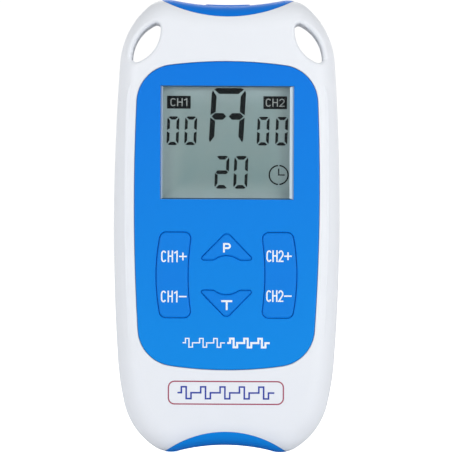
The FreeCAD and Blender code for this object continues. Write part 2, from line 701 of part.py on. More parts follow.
def make_board_parts():
    """What is soldered to the back of the board, and the gold pads on its front."""
    half, (low, high) = CHIP_HALF_WIDTH, CHIP_Z
    chip = box(-half, half, BOARD_BACK + 0.1, BOARD_BACK + 1.7, low, high)
    chip = chip.makeChamfer(0.3, chip.Edges)
    leg_places = [low + 0.7 + CHIP_LEG_PITCH * step for step in range(11)]
    nodes["microcontroller"] = Part.makeCompound([chip] + leads(-half, half, leg_places, CHIP_LEG_REACH))
    transformers = []
    half, top = TRANSFORMER_HALF_WIDTH, BOARD_BACK + TRANSFORMER_HEIGHT
    for x in (TRANSFORMER_X, -TRANSFORMER_X):
        core = box(x - half, x + half, BOARD_BACK, top, *TRANSFORMER_Z)
        core = core.makeFillet(0.5, depth_edges(core))
        coil = rod_y(x, sum(TRANSFORMER_Z) / 2, TRANSFORMER_COIL_RADIUS, top, top + 1.0)
        transformers.append(join([core, coil]))
    nodes["pulse_transformers"] = Part.makeCompound(transformers)
    cans = []
    for x in CAPACITOR_X:
        can = rod_y(x, CAPACITOR_Z, CAPACITOR_RADIUS, BOARD_BACK, BOARD_BACK + CAPACITOR_HEIGHT)
        cans.append(can.makeFillet(0.5, [edge for edge in can.Edges if edge.Vertexes[0].Y > 0]))
    nodes["capacitors"] = Part.makeCompound(cans)
    crystal = box(-5, 5, BOARD_BACK, BOARD_BACK + 3.2, 75, 78.6)
    nodes["crystal"] = crystal.makeFillet(1.6, depth_edges(crystal))
    buzzer = rod_y(0, BUZZER_Z, BUZZER_RADIUS, BOARD_BACK, BOARD_BACK + 4.5)
    nodes["piezo_buzzer"] = buzzer.cut(rod_y(0, BUZZER_Z, 0.9, BOARD_BACK + 3, BOARD_BACK + 6))
    chips = []
    for row in range(2):
        for column in range(9):
            x = -12.8 + 3.2 * column
            z = 12.7 + 1.4 * row
            clear_of_sockets = abs(abs(x) - SOCKET_X) > 1.8
            if clear_of_sockets:
                chips.append(box(x - 0.6, x + 0.6, BOARD_BACK, BOARD_BACK + 0.5, z - 0.3, z + 0.3))
    for column in range(6):
        for side in (1, -1):
            z = 98.3 + 1.5 * (column % 2)
            x = side * (9.5 + 3.6 * (column // 2))
            chips.append(box(x - 0.8, x + 0.8, BOARD_BACK, BOARD_BACK + 0.6, z - 0.4, z + 0.4))
    nodes["board_components"] = Part.makeCompound(chips)
    pads = [rod_y(x, z, PAD_RADIUS, PAD_FRONT, BOARD_FRONT) for x, z in pill_places()]
    nodes["key_contact_pads"] = Part.makeCompound(pads)


# ---------------------------------------------------------------- power button
def make_power_button():
    half_x, half_y = BUTTON_HALF_WIDTH, BUTTON_HALF_DEPTH
    head = box(-half_x, half_x, -half_y, half_y, 116.5, BUTTON_TOP_Z + 1)
    dish = CASE_LENGTH - TOP_DIP + 95.0
    roof = Part.makeCylinder(dish - BUTTON_TOP_Z, 20, V(0, -10, dish), V(0, 1, 0))
    head = head.makeFillet(BUTTON_CORNER_RADIUS, [edge for edge in head.Edges
                                 if abs(edge.Vertexes[0].Z - edge.Vertexes[-1].Z) > 1]).cut(roof)
    top = max(head.Faces, key=lambda item: item.CenterOfMass.z)
    head = head.makeFillet(0.35, top.OuterWire.Edges)
    stem_y = SWITCH_PLUNGER_Y - 0.8, SWITCH_PLUNGER_Y + 1.0
    stem = box(-1.7, 1.7, stem_y[0], stem_y[1], 112.2, 116.9)
    barb = box(-2.9, 2.9, stem_y[0], stem_y[1], 112.2, 113.0)
    return join([head, stem, barb])


def make_power_switch():
    body = box(-3, 3, BOARD_BACK, 0.6, 104.0, 109.6)
    body = body.cut(rod_z(0, SWITCH_PLUNGER_Y, 1.2, 108.0, 110.0))
    plate = box(-3, 3, 0.6, 0.8, 104.2, 109.4)
    return join([body, plate])


# ---------------------------------------------------------------- sockets
def make_socket(x):
    top = SOCKET_FACE_Z + SOCKET_LENGTH
    barrel = join([
        rod_z(x, 0, SOCKET_RADIUS, SOCKET_FACE_Z, top),
        rod_z(x, 0, SOCKET_RADIUS + 0.7, 7.8, 8.8),
    ])
    mouth_top = SOCKET_FACE_Z + SOCKET_MOUTH_DEPTH
    return barrel.cut([
        rod_z(x, 0, SOCKET_MOUTH_RADIUS, 0, mouth_top),
        rod_z(x, 0, SOCKET_WELL_RADIUS, 0, SOCKET_FACE_Z + SOCKET_WELL_DEPTH),
        rod_z(x, 0, SOCKET_NECK_RADIUS, 0, top + 1),
    ])


def make_socket_pin(x):
    start = SOCKET_FACE_Z + SOCKET_PIN_RECESS
    top = SOCKET_FACE_Z + SOCKET_LENGTH
    shaft = rod_z(x, 0, SOCKET_PIN_RADIUS, start, SOCKET_FACE_Z + SOCKET_WELL_DEPTH)
    tip = Part.makeSphere(SOCKET_PIN_RADIUS, V(x, 0, start))
    neck = rod_z(x, 0, SOCKET_NECK_RADIUS, start, top + 1.0)
    tail = rod_y(x, SOCKET_TAIL_Z, 0.35, BOARD_FRONT - 0.5, 0)
    knee = box(x - 0.35, x + 0.35, -0.35, 0.35, top + 0.2, SOCKET_TAIL_Z + 0.35)
    return join([shaft, tip, neck, tail, knee])


# ---------------------------------------------------------------- battery pieces
def battery_ends():
    """(x, plus end up) of each cell."""
    return [(-CELL_X, True), (CELL_X, False)]


def contact_tab_places():
    """Where the contacts' tabs pass through the floor of the battery bay: (x, z)."""
    places = []
    for x, _ in battery_ends():
        places += [(x, BAY_BOTTOM + 0.3), (x, BAY_TOP - 0.3)]
    return places


def make_contact_plate(x, at_top):
    z = BAY_TOP - 0.45 if at_top else BAY_BOTTOM + 0.05
    half, tab_half, top = CONTACT_HALF_WIDTH, CONTACT_TAB_HALF_WIDTH, z + CONTACT_THICKNESS
    plate = box(x - half, x + half, CELL_Y - half, CELL_Y + half, z, top)
    tab = box(x - tab_half, x + tab_half, BOARD_BACK, CELL_Y - half + 1, z, top)
    return [plate, tab]


def make_plus_contact(x, at_top):
    z = BAY_TOP - 0.45 if at_top else BAY_BOTTOM + 0.45
    reach = -1 if at_top else 1
    dimple = Part.makeCone(2.6, 1.6, 0.5, V(x, CELL_Y, z), V(0, 0, reach))
    return join(make_contact_plate(x, at_top) + [dimple])


def make_spring_contact(x, at_top):
    """A tapered coil spring's outer form on its plate, squeezed to its length with a cell in."""
    z, up = (BAY_TOP - 0.46, -1) if at_top else (BAY_BOTTOM + 0.46, 1)
    place, way = V(x, CELL_Y, z), V(0, 0, up)
    outer = Part.makeCone(SPRING_FOOT_RADIUS, SPRING_HEAD_RADIUS, SPRING_HEIGHT, place, way)
    inner = Part.makeCone(SPRING_FOOT_RADIUS - SPRING_WALL, SPRING_HEAD_RADIUS - SPRING_WALL,
                          SPRING_HEIGHT, place, way)
    return Part.makeCompound([join(make_contact_plate(x, at_top)), outer.cut(inner)])


def make_cell(x, plus_up):
    if plus_up:
        foot = BAY_TOP - CONTACT_STACK - CELL_NUB - CELL_BODY
    else:
        foot = BAY_BOTTOM + CONTACT_STACK + CELL_NUB
    body = rod_z(x, CELL_Y, CELL_RADIUS, foot, foot + CELL_BODY)
    body = body.makeFillet(0.6, [edge for edge in body.Edges if len(edge.Vertexes) == 1])
    nub_z = foot + CELL_BODY if plus_up else foot - CELL_NUB
    nub = rod_z(x, CELL_Y, NUB_RADIUS, nub_z, nub_z + CELL_NUB)
    return join([body, nub])


def cover_plate(grow, y0, y1):
    half = COVER_HALF_WIDTH + grow
    plate = box(-half, half, y0, y1, COVER_BOTTOM - grow, COVER_TOP + grow)
    return plate.makeFillet(3.0 + grow, depth_edges(plate))


def make_battery_cover():
    plate = cover_plate(0, BACK - COVER_THICKNESS, BACK)
    plate = plate.makeFillet(0.3, [edge for edge in plate.Edges
                                   if min(vertex.Y for vertex in edge.Vertexes) > BACK - 1e-6])
    parts = [plate]
    for side in (1, -1):
        tab_x = side * 9.0
        parts.append(box(tab_x - 2.5, tab_x + 2.5, 9.3, 10.1, COVER_HINGE_Z - 2.2, COVER_BOTTOM + 1.6))
        parts.append(box(tab_x - 2.5, tab_x + 2.5, 9.3, 10.5, COVER_BOTTOM + 0.5, COVER_BOTTOM + 1.6))
    cover = join(parts)
    cuts = [rod_x(BACK + 2.5, COVER_TOP, 4.0, -6, 6)]
    for step in range(5):
        cuts.append(rod_x(BACK + 0.15, COVER_TOP - 5.0 - 1.8 * step, 0.55, -6 + step, 6 - step))
    cuts.append(box(-13.05, 13.05, BACK - 0.25, BACK + 1, 22.95, 55.05))
    return cover.cut(cuts)


def make_rating_label():
    label = box(-13, 13, BACK - 0.25, BACK - 0.1, 23, 55)
    return label.makeFillet(1.5, depth_edges(label))


def make_foam_pad():
    return box(-4, 4, BACK - COVER_THICKNESS - 0.18, BACK - COVER_THICKNESS, 30, 58)


# ---------------------------------------------------------------- screws
def make_screw(x, z, head_y, head_radius, head_height, shank_radius, length):
    """A screw driven from the back: head_y is the plane under its head."""
    head = rod_y(x, z, head_radius, head_y, head_y + head_height)
    top_edges = [edge for edge in head.Edges if edge.Vertexes[0].Y > head_y + 0.1]
    head = head.makeFillet(head_height * 0.4, [edge for edge in top_edges if len(edge.Vertexes) == 1])
    shank = rod_y(x, z, shank_radius, head_y - length, head_y)
    tip = Part.makeCone(shank_radius, shank_radius * 0.3, 1.0, V(x, head_y - length, z), V(0, -1, 0))
    arm, slot = head_radius * 0.6, 0.22
    depth = head_y + head_height * 0.45
    cross = [box(x - arm, x + arm, depth, head_y + 3, z - slot, z + slot),
             box(x - slot, x + slot, depth, head_y + 3, z - arm, z + arm)]
    return join([head, shank, tip]).cut(cross)


def make_screw_nodes():
    case = []
    for x, z in CASE_SCREWS:
        case += [make_screw(side * x, z, 7.0, 2.1, 1.4, 0.95, 12.5) for side in (1, -1)]
    nodes["case_screws"] = Part.makeCompound(case)
    board = []
    for x, z in BOARD_SCREWS:
        board += [make_screw(side * x, z, BOARD_BACK, 1.6, 0.9, 0.65, 2.3) for side in (1, -1)]
    nodes["board_screws"] = Part.makeCompound(board)
    clip = [make_screw(side * 6.0, 109.6, BRACKET_BACK, 1.6, 0.9, 0.7, 5.5) for side in (1, -1)]
    nodes["clip_screws"] = Part.makeCompound(clip)


# ---------------------------------------------------------------- belt clip
def ribbon(start_y, start_z, lean, runs, thickness, half_width):
    """A bent strip across X. It starts downwards and follows arcs of (signed radius, turn).

    The lean is the heading's angle from straight down towards +Y. A negative radius turns the
    strip towards the casing and a positive one away from it.
    """
    edges = []
    y, z = start_y, start_z
    first = last = None
    for radius, turn in runs:
        way = 1 if radius > 0 else -1
        size = abs(radius)
        centre_y = y + way * size * cosd(lean)
        centre_z = z + way * size * sind(lean)
        end_lean = lean + way * turn
        ends = []
        for offset in (-thickness / 2, thickness / 2):
            reach = size - way * offset
            points = []
            for heading in (lean, (lean + end_lean) / 2, end_lean):
                points.append(V(0, centre_y - way * reach * cosd(heading),
                                centre_z - way * reach * sind(heading)))
            edges.append(arc(*points))
            ends.append((points[0], points[-1]))
        if first is None:
            first = (ends[0][0], ends[1][0])
        last = (ends[0][1], ends[1][1])
        y = centre_y - way * size * cosd(end_lean)
        z = centre_z - way * size * sind(end_lean)
        lean = end_lean
    edges += [line(*first), line(*last)]
    face = Part.Face(Part.Wire(Part.__sortEdges__(edges)))
    face.translate(V(-half_width, 0, 0))
    return face.extrude(V(2 * half_width, 0, 0))


def make_clip_lever():
    blade = ribbon(CLIP_START_Y, CLIP_TOP_Z, CLIP_START_LEAN, CLIP_RUNS, CLIP_THICKNESS,
                   CLIP_HALF_WIDTH)
    frame = box(-CLIP_HALF_WIDTH, CLIP_HALF_WIDTH, 10, 25, blade.BoundBox.ZMin, CLIP_TOP_Z + 1)
    frame = frame.makeFillet(4.5, depth_edges(frame))
    blade = blade.common(frame)
    knuckles = []
    for side in (1, -1):
        x0, x1 = sorted((side * 2.7, side * 5.3))
        knuckles.append(rod_x(CLIP_PIVOT_Y, CLIP_PIVOT_Z, 2.2, x0, x1))
        knuckles.append(box(x0, x1, CLIP_PIVOT_Y, CLIP_START_Y, CLIP_PIVOT_Z - 2.2, CLIP_PIVOT_Z + 2.2))
    lever = join([blade] + knuckles)
    cuts = [rod_x(CLIP_PIVOT_Y, CLIP_PIVOT_Z, CLIP_PIN_RADIUS + RUNNING_CLEARANCE, -12, 12)]
    for side in (1, -1):
        x0, x1 = sorted((side * (EAR_X[0] - 0.2), side * (EAR_X[1] + 0.3)))
        cuts.append(box(x0, x1, 10, 25, CLIP_PIVOT_Z - 3.4, CLIP_PIVOT_Z + 3.4))
    for step in range(3):
        cuts.append(rod_x(CLIP_START_Y + 1.35, CLIP_TOP_Z - 1.6 - 1.1 * step, 0.6, -9, 9))
    return lever.cut(cuts)


def make_clip_bracket():
    plate = box(-BRACKET_HALF_WIDTH, BRACKET_HALF_WIDTH, BACK, BRACKET_BACK, 101.6, 111.6)
    plate = plate.makeFillet(1.5, depth_edges(plate))
    parts = [plate]
    for side in (1, -1):
        x0, x1 = sorted((side * EAR_X[0], side * EAR_X[1]))
        parts.append(rod_x(CLIP_PIVOT_Y, CLIP_PIVOT_Z, EAR_RADIUS, x0, x1))
        parts.append(box(x0, x1, BACK, CLIP_PIVOT_Y, CLIP_PIVOT_Z - EAR_RADIUS,
                         CLIP_PIVOT_Z + EAR_RADIUS))
    bracket = join(parts)
    cuts = [rod_x(CLIP_PIVOT_Y, CLIP_PIVOT_Z, CLIP_PIN_RADIUS, -12, 12)]
    cuts += both_sides(rod_y(6.0, 109.6, 0.9, BACK - 1, BRACKET_BACK + 1))
    cuts.append(rod_x(CLIP_PIVOT_Y, CLIP_PIVOT_Z, 2.4, -EAR_X[0], EAR_X[0]))
    return bracket.cut(cuts)


def make_clip_spring():
    """A torsion spring's outer form round the pin, with a leg up the bracket and one up the lever."""
    wire, radius, length = 0.25, 1.3, 4.7
    coil = rod_x(CLIP_PIVOT_Y, CLIP_PIVOT_Z, radius + wire, -length / 2, length / 2)
    coil = coil.cut(rod_x(CLIP_PIVOT_Y, CLIP_PIVOT_Z, radius - wire, -length, length))
    start_z = CLIP_PIVOT_Z + radius
    side = length / 2 - wire
    inner = V(-side, CLIP_PIVOT_Y - radius + 0.08, start_z)
    outer = V(side, CLIP_PIVOT_Y + radius - 0.3, start_z)
    legs = [Part.makeCylinder(wire, 3.9, inner, V(0, 0, 1)),
            Part.makeCylinder(wire, 2.6, outer, V(0, -sind(16), cosd(16)))]
    return Part.makeCompound([coil] + legs)


# ---------------------------------------------------------------- all the pieces
def make_all():
    blank = shell_blank()
    nodes["front_shell"] = make_front_shell(blank)
    nodes["rear_shell"] = make_rear_shell(blank)
    nodes["top_cap"] = make_cap(True)
    nodes["bottom_cap"] = make_cap(False)
    nodes["fascia"] = make_fascia()
    nodes["display_window"] = make_display_window()
    arrow, rocker = make_arrow_key(), make_rocker_key()
    nodes["key_program"] = arrow
    nodes["key_timer"] = flipped(arrow)
    nodes["key_channel_2"], nodes["key_channel_1"] = both_sides(rocker)
    places = pill_places()
    rocker_travel = ROCKER_PILL_Z * sind(ROCKER_TILT)
    nodes["pill_program"] = make_pill(*places[0], KEY_TRAVEL)
    nodes["pill_timer"] = make_pill(*places[1], KEY_TRAVEL)
    for name, pair in (("pills_channel_2", places[2:4]), ("pills_channel_1", places[4:6])):
        nodes[name] = Part.makeCompound([make_pill(x, z, rocker_travel) for x, z in pair])
    make_display_nodes()
    nodes["main_board"] = make_main_board()
    nodes["keypad_mat"] = make_keypad_mat()
    make_board_parts()
    nodes["power_button"] = make_power_button()
    nodes["power_switch"] = make_power_switch()
    nodes["power_switch_plunger"] = rod_z(0, SWITCH_PLUNGER_Y, 1.1, 108.7, 112.2)
    for name, x in (("left", -SOCKET_X), ("right", SOCKET_X)):
        nodes["lead_socket_" + name] = make_socket(x)
        nodes["socket_pin_" + name] = make_socket_pin(x)
    for name, (x, plus_up) in zip(("left", "right"), battery_ends()):
        nodes["battery_cell_" + name] = make_cell(x, plus_up)
        nodes["battery_spring_" + name] = make_spring_contact(x, not plus_up)
        nodes["battery_plus_contact_" + name] = make_plus_contact(x, plus_up)
    nodes["battery_cover"] = make_battery_cover()
    nodes["rating_label"] = make_rating_label()
    nodes["cover_foam_pad"] = make_foam_pad()
    make_screw_nodes()
    nodes["belt_clip_lever"] = make_clip_lever()
    nodes["belt_clip_bracket"] = make_clip_bracket()
    nodes["belt_clip_pin"] = rod_x(CLIP_PIVOT_Y, CLIP_PIVOT_Z, CLIP_PIN_RADIUS, -EAR_X[1], EAR_X[1])
    nodes["belt_clip_spring"] = make_clip_spring()


make_all()
os.makedirs("parts", exist_ok=True)
for name, shape in nodes.items():
    placed = shape.copy()
    placed.translate(V(0, SPLIT_PLANE_Y, 0))
    placed.exportStep("parts/" + name + ".step")
    print(name, "solids", len(placed.Solids), "volume %.1f" % placed.Volume, "valid", placed.isValid())
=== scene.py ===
"""Looks of a hand-held two-channel nerve stimulator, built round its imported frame.

Sizes are in millimetres and become metres where a mesh is made. X points to the right, Y to the
back and Z up. The object stands on Z = 0 with its keypad towards -Y.
"""

from __future__ import annotations

import json
import logging
import math
from collections.abc import Callable, Iterable, Sequence
from dataclasses import dataclass, replace
from enum import Enum

import bmesh
import bpy
from mathutils import Matrix, Vector
from mathutils.bvhtree import BVHTree

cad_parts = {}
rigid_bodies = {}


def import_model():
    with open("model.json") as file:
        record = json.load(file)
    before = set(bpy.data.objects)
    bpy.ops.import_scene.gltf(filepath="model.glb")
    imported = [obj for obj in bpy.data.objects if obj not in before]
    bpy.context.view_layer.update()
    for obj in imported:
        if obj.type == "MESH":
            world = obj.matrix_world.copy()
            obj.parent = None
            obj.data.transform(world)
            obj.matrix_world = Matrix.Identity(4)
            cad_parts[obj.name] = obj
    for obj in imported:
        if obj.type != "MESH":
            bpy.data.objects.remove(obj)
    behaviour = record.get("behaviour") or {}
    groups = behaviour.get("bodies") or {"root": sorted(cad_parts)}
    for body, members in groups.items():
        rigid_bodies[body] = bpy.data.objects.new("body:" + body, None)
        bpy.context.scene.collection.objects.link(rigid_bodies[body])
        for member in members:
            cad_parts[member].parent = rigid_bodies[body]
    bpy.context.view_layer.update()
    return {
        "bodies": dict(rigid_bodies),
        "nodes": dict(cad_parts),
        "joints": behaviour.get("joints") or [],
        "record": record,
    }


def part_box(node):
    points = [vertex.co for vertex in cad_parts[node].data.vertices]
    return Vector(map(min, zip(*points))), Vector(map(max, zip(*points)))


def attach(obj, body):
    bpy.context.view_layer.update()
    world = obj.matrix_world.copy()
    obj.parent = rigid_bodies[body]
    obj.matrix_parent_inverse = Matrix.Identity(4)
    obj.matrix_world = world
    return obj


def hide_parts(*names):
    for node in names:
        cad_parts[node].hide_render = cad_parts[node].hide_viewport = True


MM = 0.001
LOG = logging.getLogger("stimulator")

Colour = tuple[float, float, float]
Point2 = tuple[float, float]
Point3 = tuple[float, float, float]
Settings = dict[str, object]
Socket = bpy.types.NodeSocket

# Smooth noise mostly stays between these two values.
NOISE_SPAN = (0.3, 0.7)
# One period of the pulse train: share of the pitch and level.
PULSE_SHAPE = ((0.2, 0.0), (0.2, 1.0), (0.45, 1.0), (0.45, -1.0), (0.7, -1.0), (0.7, 0.0))
# How far in front of a surface the probe for its depth starts, in metres.
PROBE_REACH = 0.2
# Points of a spring's coil per turn and facets round its wire.
COIL_POINTS = 28
WIRE_FACETS = 8


class Body(str, Enum):
    """The parts that pieces made here ride on, named as in the record."""

    CASING = "casing"
    PROGRAM_KEY = "program_key"
    TIMER_KEY = "timer_key"
    CHANNEL_1 = "channel_1_rocker"
    CHANNEL_2 = "channel_2_rocker"
    COVER = "cover"


class Facing(Enum):
    """Which way a printed surface looks along Y."""

    FRONT = -1
    BACK = 1


class Axis(Enum):
    """A direction for a pattern, as an index into a vector."""

    X = 0
    Y = 1
    Z = 2


# ------------------------------------------------------------------------------ shader nodes
class NodeBench:
    """Adds nodes to a tree and joins them."""

    def __init__(self, tree: bpy.types.NodeTree) -> None:
        """Starts with an empty tree."""
        self.tree = tree
        self.tree.nodes.clear()

    def feed(self, socket: Socket, value: object) -> None:
        """Links an input to another node's output, or sets its value."""
        if isinstance(value, Socket):
            self.tree.links.new(value, socket)
        elif socket.type == "RGBA":
            socket.default_value = (*value, 1.0)
        else:
            socket.default_value = value

    def node(self, kind: str, settings: Settings | None = None, **inputs: object) -> bpy.types.Node:
        """Adds one node.

        Args:
            kind: the node's type name.
            settings: the node's own properties.
            **inputs: values or outputs for its sockets, with _ for a space.

        Returns:
            The new node.
        """
        made = self.tree.nodes.new(kind)
        for key, value in (settings or {}).items():
            setattr(made, key, value)
        for label, value in inputs.items():
            self.feed(made.inputs[label.replace("_", " ")], value)
        return made


class Paintbox(NodeBench):
    """The shader nodes of one material."""

    def __init__(self, name: str) -> None:
        """Starts an empty material of that name."""
        self.material = bpy.data.materials.new(name)
        self.material.use_nodes = True
        super().__init__(self.material.node_tree)
        self.place = self.node("ShaderNodeTexCoord").outputs["Object"]

    def stretched(self, factors: Point3) -> Socket:
        """The object's coordinates, scaled by a factor along each axis."""
        return self.node("ShaderNodeMapping", Vector=self.place, Scale=factors).outputs[0]

    def noise(self, size: float, detail: float = 2.0, place: Socket | None = None) -> Socket:
        """Smooth noise from 0 to 1 with lumps of a size in millimetres and some finer layers."""
        scale = 1 / (size * MM)
        made = self.node("ShaderNodeTexNoise", Vector=place or self.place, Scale=scale, Detail=detail)
        return made.outputs[0]

    def ranged(self, value: Socket, low: float, high: float, to_low: float, to_high: float) -> Socket:
        """The value carried from one range to another, and kept within it."""
        made = self.node("ShaderNodeMapRange", Value=value, From_Min=low, From_Max=high)
        made.inputs["To Min"].default_value = to_low
        made.inputs["To Max"].default_value = to_high
        return made.outputs[0]

    def around(self, noise: Socket, middle: float, spread: float) -> Socket:
        """A middle value that noise moves up and down by a spread."""
        return self.ranged(noise, *NOISE_SPAN, middle - spread, middle + spread)

    def maths(self, operation: str, first: object, second: object = 0.0) -> Socket:
        """The result of a sum on one or two values."""
        made = self.node("ShaderNodeMath", {"operation": operation})
        self.feed(made.inputs[0], first)
        self.feed(made.inputs[1], second)
        return made.outputs[0]

    def along(self, axis: Axis, start: float, end: float) -> Socket:
        """A ramp from 0 to 1 between two places in millimetres along an axis."""
        parts = self.node("ShaderNodeSeparateXYZ", Vector=self.place)
        return self.ranged(parts.outputs[axis.value], start * MM, end * MM, 0.0, 1.0)

    def blend(self, share: object, first: object, second: object) -> Socket:
        """A mix of two colours: share 0 gives the first and 1 the second."""
        made = self.node("ShaderNodeMix", {"data_type": "RGBA"})
        for index, value in ((0, share), (6, first), (7, second)):
            self.feed(made.inputs[index], value)
        return made.outputs[2]

    def relief(self, height: Socket, depth: float) -> Socket:
        """A bumped normal.

        Args:
            height: the relief, from 0 to 1.
            depth: the height of 1 in millimetres.

        Returns:
            The normal for a shader.
        """
        return self.node("ShaderNodeBump", Strength=1.0, Distance=depth * MM, Height=height).outputs[0]

    def shader(self, colour: object, roughness: object, **inputs: object) -> bpy.types.Node:
        """A Principled shader with its colour, roughness and any other inputs."""
        return self.node("ShaderNodeBsdfPrincipled", Base_Color=colour, Roughness=roughness, **inputs)

    def finish(self, surface: bpy.types.Node) -> bpy.types.Material:
        """Joins a shader to the output and hands the material over."""
        self.node("ShaderNodeOutputMaterial", Surface=surface.outputs[0])
        return self.material


# ------------------------------------------------------------------------------ finishes
@dataclass(frozen=True)
class MouldedPlastic:
    """Injection-moulded plastic with faint flow marks and a fine spark-eroded texture."""

    name: str
    colour: Colour
    flow_colour: Colour
    roughness: float = 0.42
    gloss_spread: float = 0.06
    specular: float = 0.3
    flow_size: float = 22.0
    texture_size: float = 0.4
    texture_depth: float = 0.0035
    # Painted light: a lighter colour at the foot, grading to the main colour over the span.
    painted_light_foot_colour: Colour | None = None
    painted_light_foot_span: Point2 = (22.0, 104.0)

    def make(self) -> bpy.types.Material:
        """Builds the material."""
        box = Paintbox(self.name)
        flow = box.noise(self.flow_size, 3.0)
        colour = box.blend(flow, self.colour, self.flow_colour)
        # Painted light: lighter towards the foot, darker towards the top.
        if self.painted_light_foot_colour is not None:
            colour = box.blend(box.along(Axis.Z, *self.painted_light_foot_span), self.painted_light_foot_colour, colour)
        rough = box.around(box.noise(self.flow_size / 4, 4.0), self.roughness, self.gloss_spread)
        normal = box.relief(box.noise(self.texture_size), self.texture_depth)
        return box.finish(box.shader(colour, rough, Normal=normal, Specular_IOR_Level=self.specular))


@dataclass(frozen=True)
class PlatedMetal:
    """Plated or drawn metal with brush lines along one axis and dull patches."""

    name: str
    colour: Colour
    dull_colour: Colour
    roughness: float = 0.28
    grain_axis: Axis = Axis.Z
    grain_size: float = 0.12
    grain_stretch: float = 0.04
    grain_depth: float = 0.002
    patch_size: float = 3.0
    polished: float = 0.75
    dulled: float = 1.35

    def make(self) -> bpy.types.Material:
        """Builds the material."""
        box = Paintbox(self.name)
        factors = [1.0, 1.0, 1.0]
        factors[self.grain_axis.value] = self.grain_stretch
        lines = box.noise(self.grain_size, 2.0, box.stretched(tuple(factors)))
        patches = box.noise(self.patch_size, 4.0)
        colour = box.blend(patches, self.colour, self.dull_colour)
        smooth, dull = self.roughness * self.polished, self.roughness * self.dulled
        rough = box.ranged(patches, *NOISE_SPAN, smooth, dull)
        normal = box.relief(lines, self.grain_depth)
        return box.finish(box.shader(colour, rough, Normal=normal, Metallic=1.0))


@dataclass(frozen=True)
class SoftRubber:
    """Silicone or foam: matt, with fine pores."""

    name: str
    colour: Colour
    pore_colour: Colour
    roughness: float = 0.75
    pore_size: float = 0.5
    pore_depth: float = 0.02
    spread: float = 0.08

    def make(self) -> bpy.types.Material:
        """Builds the material."""
        box = Paintbox(self.name)
        cells = box.node("ShaderNodeTexVoronoi", Vector=box.place, Scale=1 / (self.pore_size * MM))
        pores = cells.outputs["Distance"]
        colour = box.blend(box.ranged(pores, 0.1, 0.6, 0.0, 1.0), self.pore_colour, self.colour)
        rough = box.around(box.noise(self.pore_size * 4), self.roughness, self.spread)
        normal = box.relief(pores, self.pore_depth)
        return box.finish(box.shader(colour, rough, Normal=normal, Specular_IOR_Level=0.25))


@dataclass(frozen=True)
class PrintedInk:
    """Screen-printed ink: even, slightly mottled and a little duller than what it lies on."""

    name: str
    colour: Colour
    thin_colour: Colour
    roughness: float = 0.5
    spread: float = 0.05
    specular: float = 0.2
    mottle_size: float = 0.25
    mottle_depth: float = 0.002

    def make(self) -> bpy.types.Material:
        """Builds the material."""
        box = Paintbox(self.name)
        mottle = box.noise(self.mottle_size, 3.0)
        colour = box.blend(box.ranged(mottle, 0.35, 0.75, 0.0, 0.5), self.colour, self.thin_colour)
        rough = box.around(mottle, self.roughness, self.spread)
        normal = box.relief(mottle, self.mottle_depth)
        return box.finish(box.shader(colour, rough, Normal=normal, Specular_IOR_Level=self.specular))


@dataclass(frozen=True)
class PolariserFilm:
    """The front of a liquid crystal cell: a grey-green film with painted light, a little lighter at its
    top and towards its edges.
    """

    name: str
    low_colour: Colour
    painted_top_light_colour: Colour
    warm_colour: Colour
    # Painted rim light: how pale the edges get, where it starts and how it grows.
    painted_rim_light_colour: Colour = (0.45, 0.56, 0.57)
    middle_z: float = 82.0
    half_wide: float = 17.6
    half_high: float = 15.0
    painted_rim_light_start: float = 0.6
    painted_rim_light_curve: float = 1.6
    cloud_size: float = 9.0
    cloud_share: float = 0.35
    fleck_size: float = 0.16
    roughness: float = 0.34
    spread: float = 0.04

    def make(self) -> bpy.types.Material:
        """Builds the material."""
        box = Paintbox(self.name)
        # Painted light: the film grows lighter from its bottom colour up to its top.
        rise = box.along(Axis.Z, self.middle_z - self.half_high, self.middle_z + self.half_high)
        middle = box.blend(rise, self.low_colour, self.painted_top_light_colour)
        # Painted light: the film is lightened towards its edges and corners, where the window's walls
        # shade it.
        parts = box.node("ShaderNodeSeparateXYZ", Vector=box.place)
        across = box.maths("ABSOLUTE", box.maths("DIVIDE", parts.outputs[0], self.half_wide * MM))
        lifted = box.maths("SUBTRACT", parts.outputs[2], self.middle_z * MM)
        up = box.maths("ABSOLUTE", box.maths("DIVIDE", lifted, self.half_high * MM))
        painted_rim_light = box.ranged(box.maths("MAXIMUM", across, up), self.painted_rim_light_start, 1.0, 0.0, 1.0)
        body = box.blend(box.maths("POWER", painted_rim_light, self.painted_rim_light_curve), middle, self.painted_rim_light_colour)
        cloud = box.ranged(box.noise(self.cloud_size), 0.35, 0.7, 0.0, self.cloud_share)
        fleck = box.noise(self.fleck_size)
        colour = box.blend(cloud, body, self.warm_colour)
        rough = box.around(fleck, self.roughness, self.spread)
        normal = box.relief(fleck, 0.001)
        return box.finish(box.shader(colour, rough, Normal=normal, Specular_IOR_Level=0.1))


@dataclass(frozen=True)
class ClearAcrylic:
    """A thin polished window that mirrors a little and hides nothing behind it."""

    name: str
    tint: Colour
    haze: Colour
    index: float = 1.16
    smear_size: float = 7.0
    gloss: Point2 = (0.02, 0.09)

    def make(self) -> bpy.types.Material:
        """Builds the material."""
        box = Paintbox(self.name)
        rough = box.ranged(box.noise(self.smear_size, 4.0), 0.35, 0.7, *self.gloss)
        mirror = box.shader(self.haze, rough, Specular_IOR_Level=0.5)
        through = box.node("ShaderNodeBsdfTransparent", Color=self.tint)
        share = box.node("ShaderNodeFresnel", IOR=self.index)
        mix = box.node("ShaderNodeMixShader")
        for index, source in enumerate((share, through, mirror)):
            box.feed(mix.inputs[index], source.outputs[0])
        return box.finish(mix)


